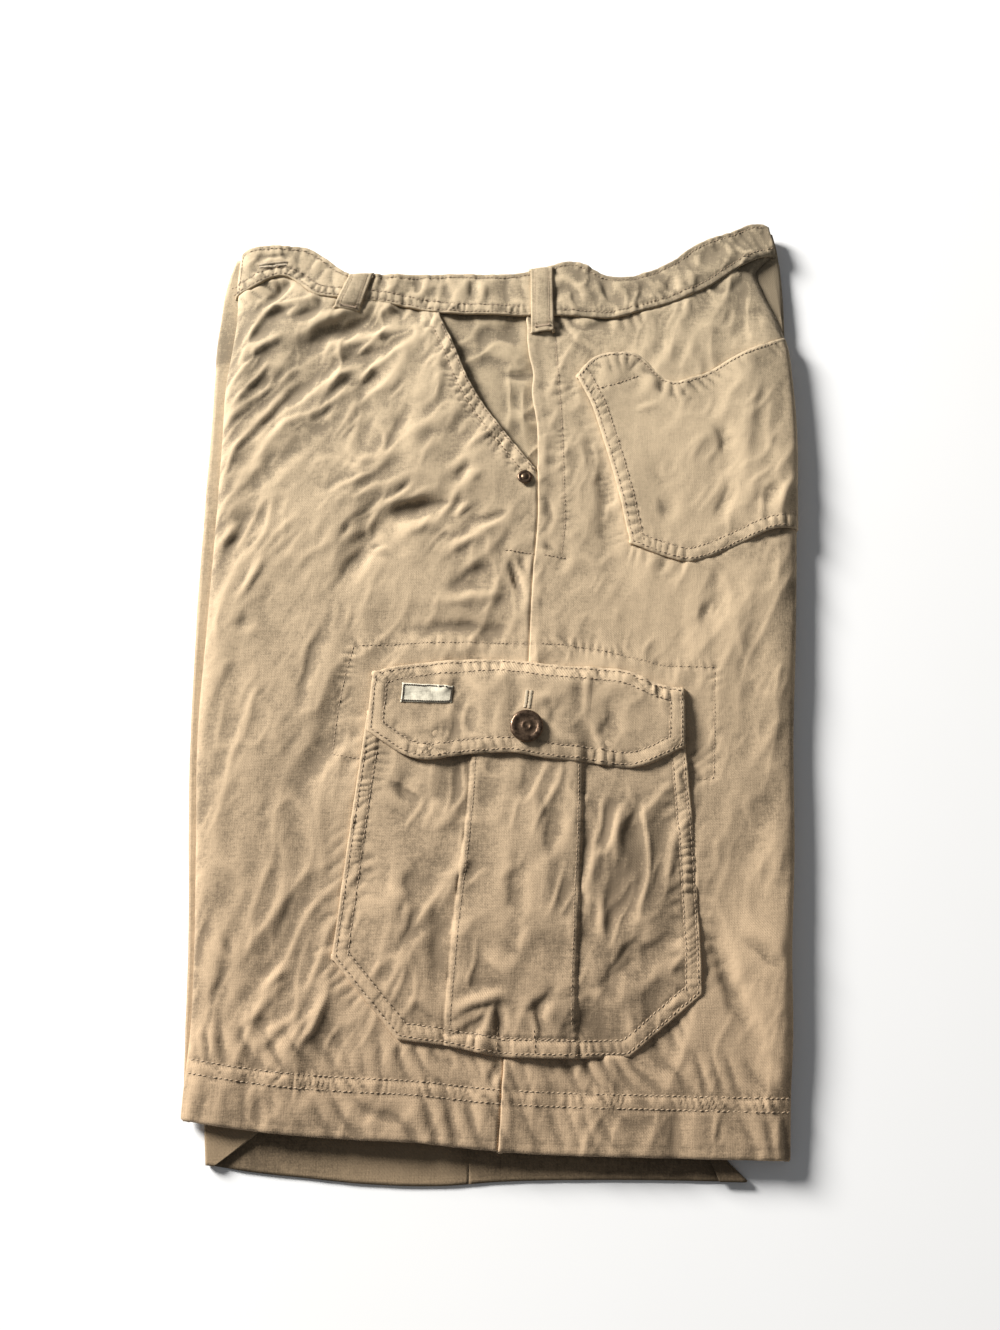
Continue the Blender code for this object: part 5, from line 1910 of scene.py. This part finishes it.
def thread_look(name, dark, light):
    """Twisted sewing thread."""
    made, tree, shader, place = new_look(name)
    shader.inputs["Sheen Weight"].default_value = 0.2
    twist = noise(tree, stretched(tree, place, (2600.0, 1400.0, 2000.0), 0.6), 1.0, 1.0)
    patchy = noise(tree, place, 60.0, 2.0)
    twisted = maths(tree, "MULTIPLY", twist, 0.6)
    mixed = summed(tree, twisted, maths(tree, "MULTIPLY", patchy, 0.5))
    colour = blended(tree, mixed, dark, light)
    tree.links.new(colour, shader.inputs["Base Color"])
    rough = maths(tree, "MULTIPLY_ADD", twist, 0.3, 0.5)
    tree.links.new(rough, shader.inputs["Roughness"])
    bump_from(tree, shader, twist, 0.0001)
    return made


def bronze_look():
    """Aged bronze: brown, tarnished darker in patches, rubbed brighter in spots."""
    made, tree, shader, place = new_look("aged_bronze")
    shader.inputs["Metallic"].default_value = 0.9
    tarnish = noise(tree, place, 380.0, 4.0, 0.65)
    rubbed = noise(tree, place, 900.0, 3.0, 0.6)
    mixed = maths(tree, "MULTIPLY_ADD", tarnish, 2.2, -0.7, clamp=True)
    colour = blended(tree, mixed, (0.05, 0.03, 0.02), (0.30, 0.20, 0.13))
    tree.links.new(colour, shader.inputs["Base Color"])
    rough = maths(tree, "MULTIPLY_ADD", rubbed, 0.35, 0.22)
    tree.links.new(rough, shader.inputs["Roughness"])
    bump_from(tree, shader, rubbed, 0.00012)
    return made


def floor_look():
    """Plain pale floor."""
    made, tree, shader, place = new_look("pale_floor")
    colour = blended(tree, noise(tree, place, 8.0), (0.93, 0.93, 0.925), (0.95, 0.95, 0.95))
    tree.links.new(colour, shader.inputs["Base Color"])
    rough = maths(tree, "MULTIPLY_ADD", noise(tree, place, 40.0), 0.1, 0.85)
    tree.links.new(rough, shader.inputs["Roughness"])
    return made


def studio():
    """Pale floor, one soft light low from the upper left, a weak even fill, and the camera."""
    bm = bmesh.new()
    bmesh.ops.create_grid(bm, x_segments=8, y_segments=8, size=FLOOR_REACH)
    mesh = bpy.data.meshes.new("floor")
    bm.to_mesh(mesh)
    bm.free()
    mesh.materials.append(floor_look())
    floor = bpy.data.objects.new("floor", mesh)
    bpy.context.scene.collection.objects.link(floor)
    floor.location = (0.0, 0.0, -0.0003)

    lamp = bpy.data.lights.new("window_light", "AREA")
    lamp.shape = "DISK"
    lamp.size = KEY_SIZE
    lamp.energy = KEY_POWER
    lamp.color = (1.0, 0.985, 0.96)
    key = bpy.data.objects.new("window_light", lamp)
    bpy.context.scene.collection.objects.link(key)
    key.location = Vector(KEY_FROM).normalized() * KEY_DISTANCE
    key.rotation_euler = Vector(KEY_FROM).to_track_quat("Z", "Y").to_euler()

    world = bpy.data.worlds.new("studio_fill")
    bpy.context.scene.world = world
    world.use_nodes = True
    tree = world.node_tree
    fill = tree.nodes["Background"]
    fill.inputs["Color"].default_value = (0.95, 0.97, 1.0, 1.0)
    fill.inputs["Strength"].default_value = FILL
    seen = tree.nodes.new("ShaderNodeBackground")
    seen.inputs["Color"].default_value = (0.97, 0.97, 0.97, 1.0)
    path = tree.nodes.new("ShaderNodeLightPath")
    either = tree.nodes.new("ShaderNodeMixShader")
    tree.links.new(path.outputs["Is Camera Ray"], either.inputs[0])
    tree.links.new(fill.outputs[0], either.inputs[1])
    tree.links.new(seen.outputs[0], either.inputs[2])
    tree.links.new(either.outputs[0], tree.nodes["World Output"].inputs["Surface"])

    lens = bpy.data.cameras.new("camera")
    lens.lens = CAMERA_LENS
    lens.sensor_width = CAMERA_SENSOR
    camera = bpy.data.objects.new("camera", lens)
    bpy.context.scene.collection.objects.link(camera)
    camera.location = CAMERA_AT
    camera.rotation_euler = (math.radians(CAMERA_TILT), 0.0, 0.0)
    bpy.context.scene.camera = camera
    bpy.context.scene.view_settings.view_transform = "Standard"


# Colours of each cloth at the waist and at the hems, where a lighter waist colour is painted light,
# and the darkest and lightest of each thread
KHAKI = ((0.49, 0.39, 0.257), (0.44, 0.316, 0.2))
POCKETING = ((0.41, 0.325, 0.212), (0.36, 0.27, 0.17))
# Wrong side of the twill, darkened as painted shade inside the open leg below.
WRONG_SIDE_IN_SHADE = ((0.33, 0.24, 0.15), (0.27, 0.195, 0.12))
CREAM = ((0.76, 0.70, 0.55), (0.76, 0.70, 0.55))
KHAKI_THREAD = ((0.20, 0.135, 0.075), (0.52, 0.385, 0.25))
TAN_THREAD = ((0.50, 0.40, 0.27), (0.74, 0.62, 0.44))
BROWN_THREAD = ((0.035, 0.024, 0.015), (0.12, 0.085, 0.05))


def main():
    """The looks, then every piece from the folded layers outwards, the trims and the studio."""
    twill = cloth_look("khaki_twill", *KHAKI)
    pocketing = cloth_look("pocket_twill", *POCKETING)
    # Painted shade: a darker copy of the twill for the inside of the open leg.
    inside = cloth_look("twill_wrong_side", *WRONG_SIDE_IN_SHADE, ribs=300.0)
    woven = cloth_look("cream_tape", *CREAM, ribs=700.0, bump=0.0001)
    thread = thread_look("khaki_thread", *KHAKI_THREAD)
    tan = thread_look("tan_thread", *TAN_THREAD)
    brown = thread_look("brown_thread", *BROWN_THREAD)
    bronze = bronze_look()

    folded_layers(twill)
    under_hem("under_front_hem_cloth", "under_front_hem", UNDER_FRONT_END, -1, inside)
    under_hem("under_back_hem_cloth", "under_back_hem", UNDER_BACK_END, 1, inside)
    front_panel(twill)
    back_panel(twill)
    pocket_facing(pocketing)
    waistband(twill)
    belt_loop("belt_loop_front_cloth", "belt_loop_front", FRONT_LOOP, twill)
    belt_loop("belt_loop_side_cloth", "belt_loop_side", SIDE_LOOP, twill)
    back_pocket(twill)
    cargo_pocket(twill)
    cargo_flap(twill)
    label(woven)
    sew_everything(thread, tan, brown)
    button_z = highest_near(BUTTON_AT, BUTTON_RADIUS, flap_rise, FLAP_RELIEF) + FLAP_OUT + TRIM_GAP
    turned_trim("button", "tack_button", BUTTON_AT, button_z, BUTTON_FACE, BUTTON_RADIUS,
                BUTTON_HEIGHT, bronze, BUTTON_STEPS)
    rivet_z = highest_near(RIVET_AT, RIVET_RADIUS, None, LEG_RELIEF) + TRIM_GAP
    turned_trim("pocket_rivet", "rivet", RIVET_AT, rivet_z, RIVET_FACE, RIVET_RADIUS,
                RIVET_HEIGHT, bronze, RIVET_STEPS)
    studio()


main()
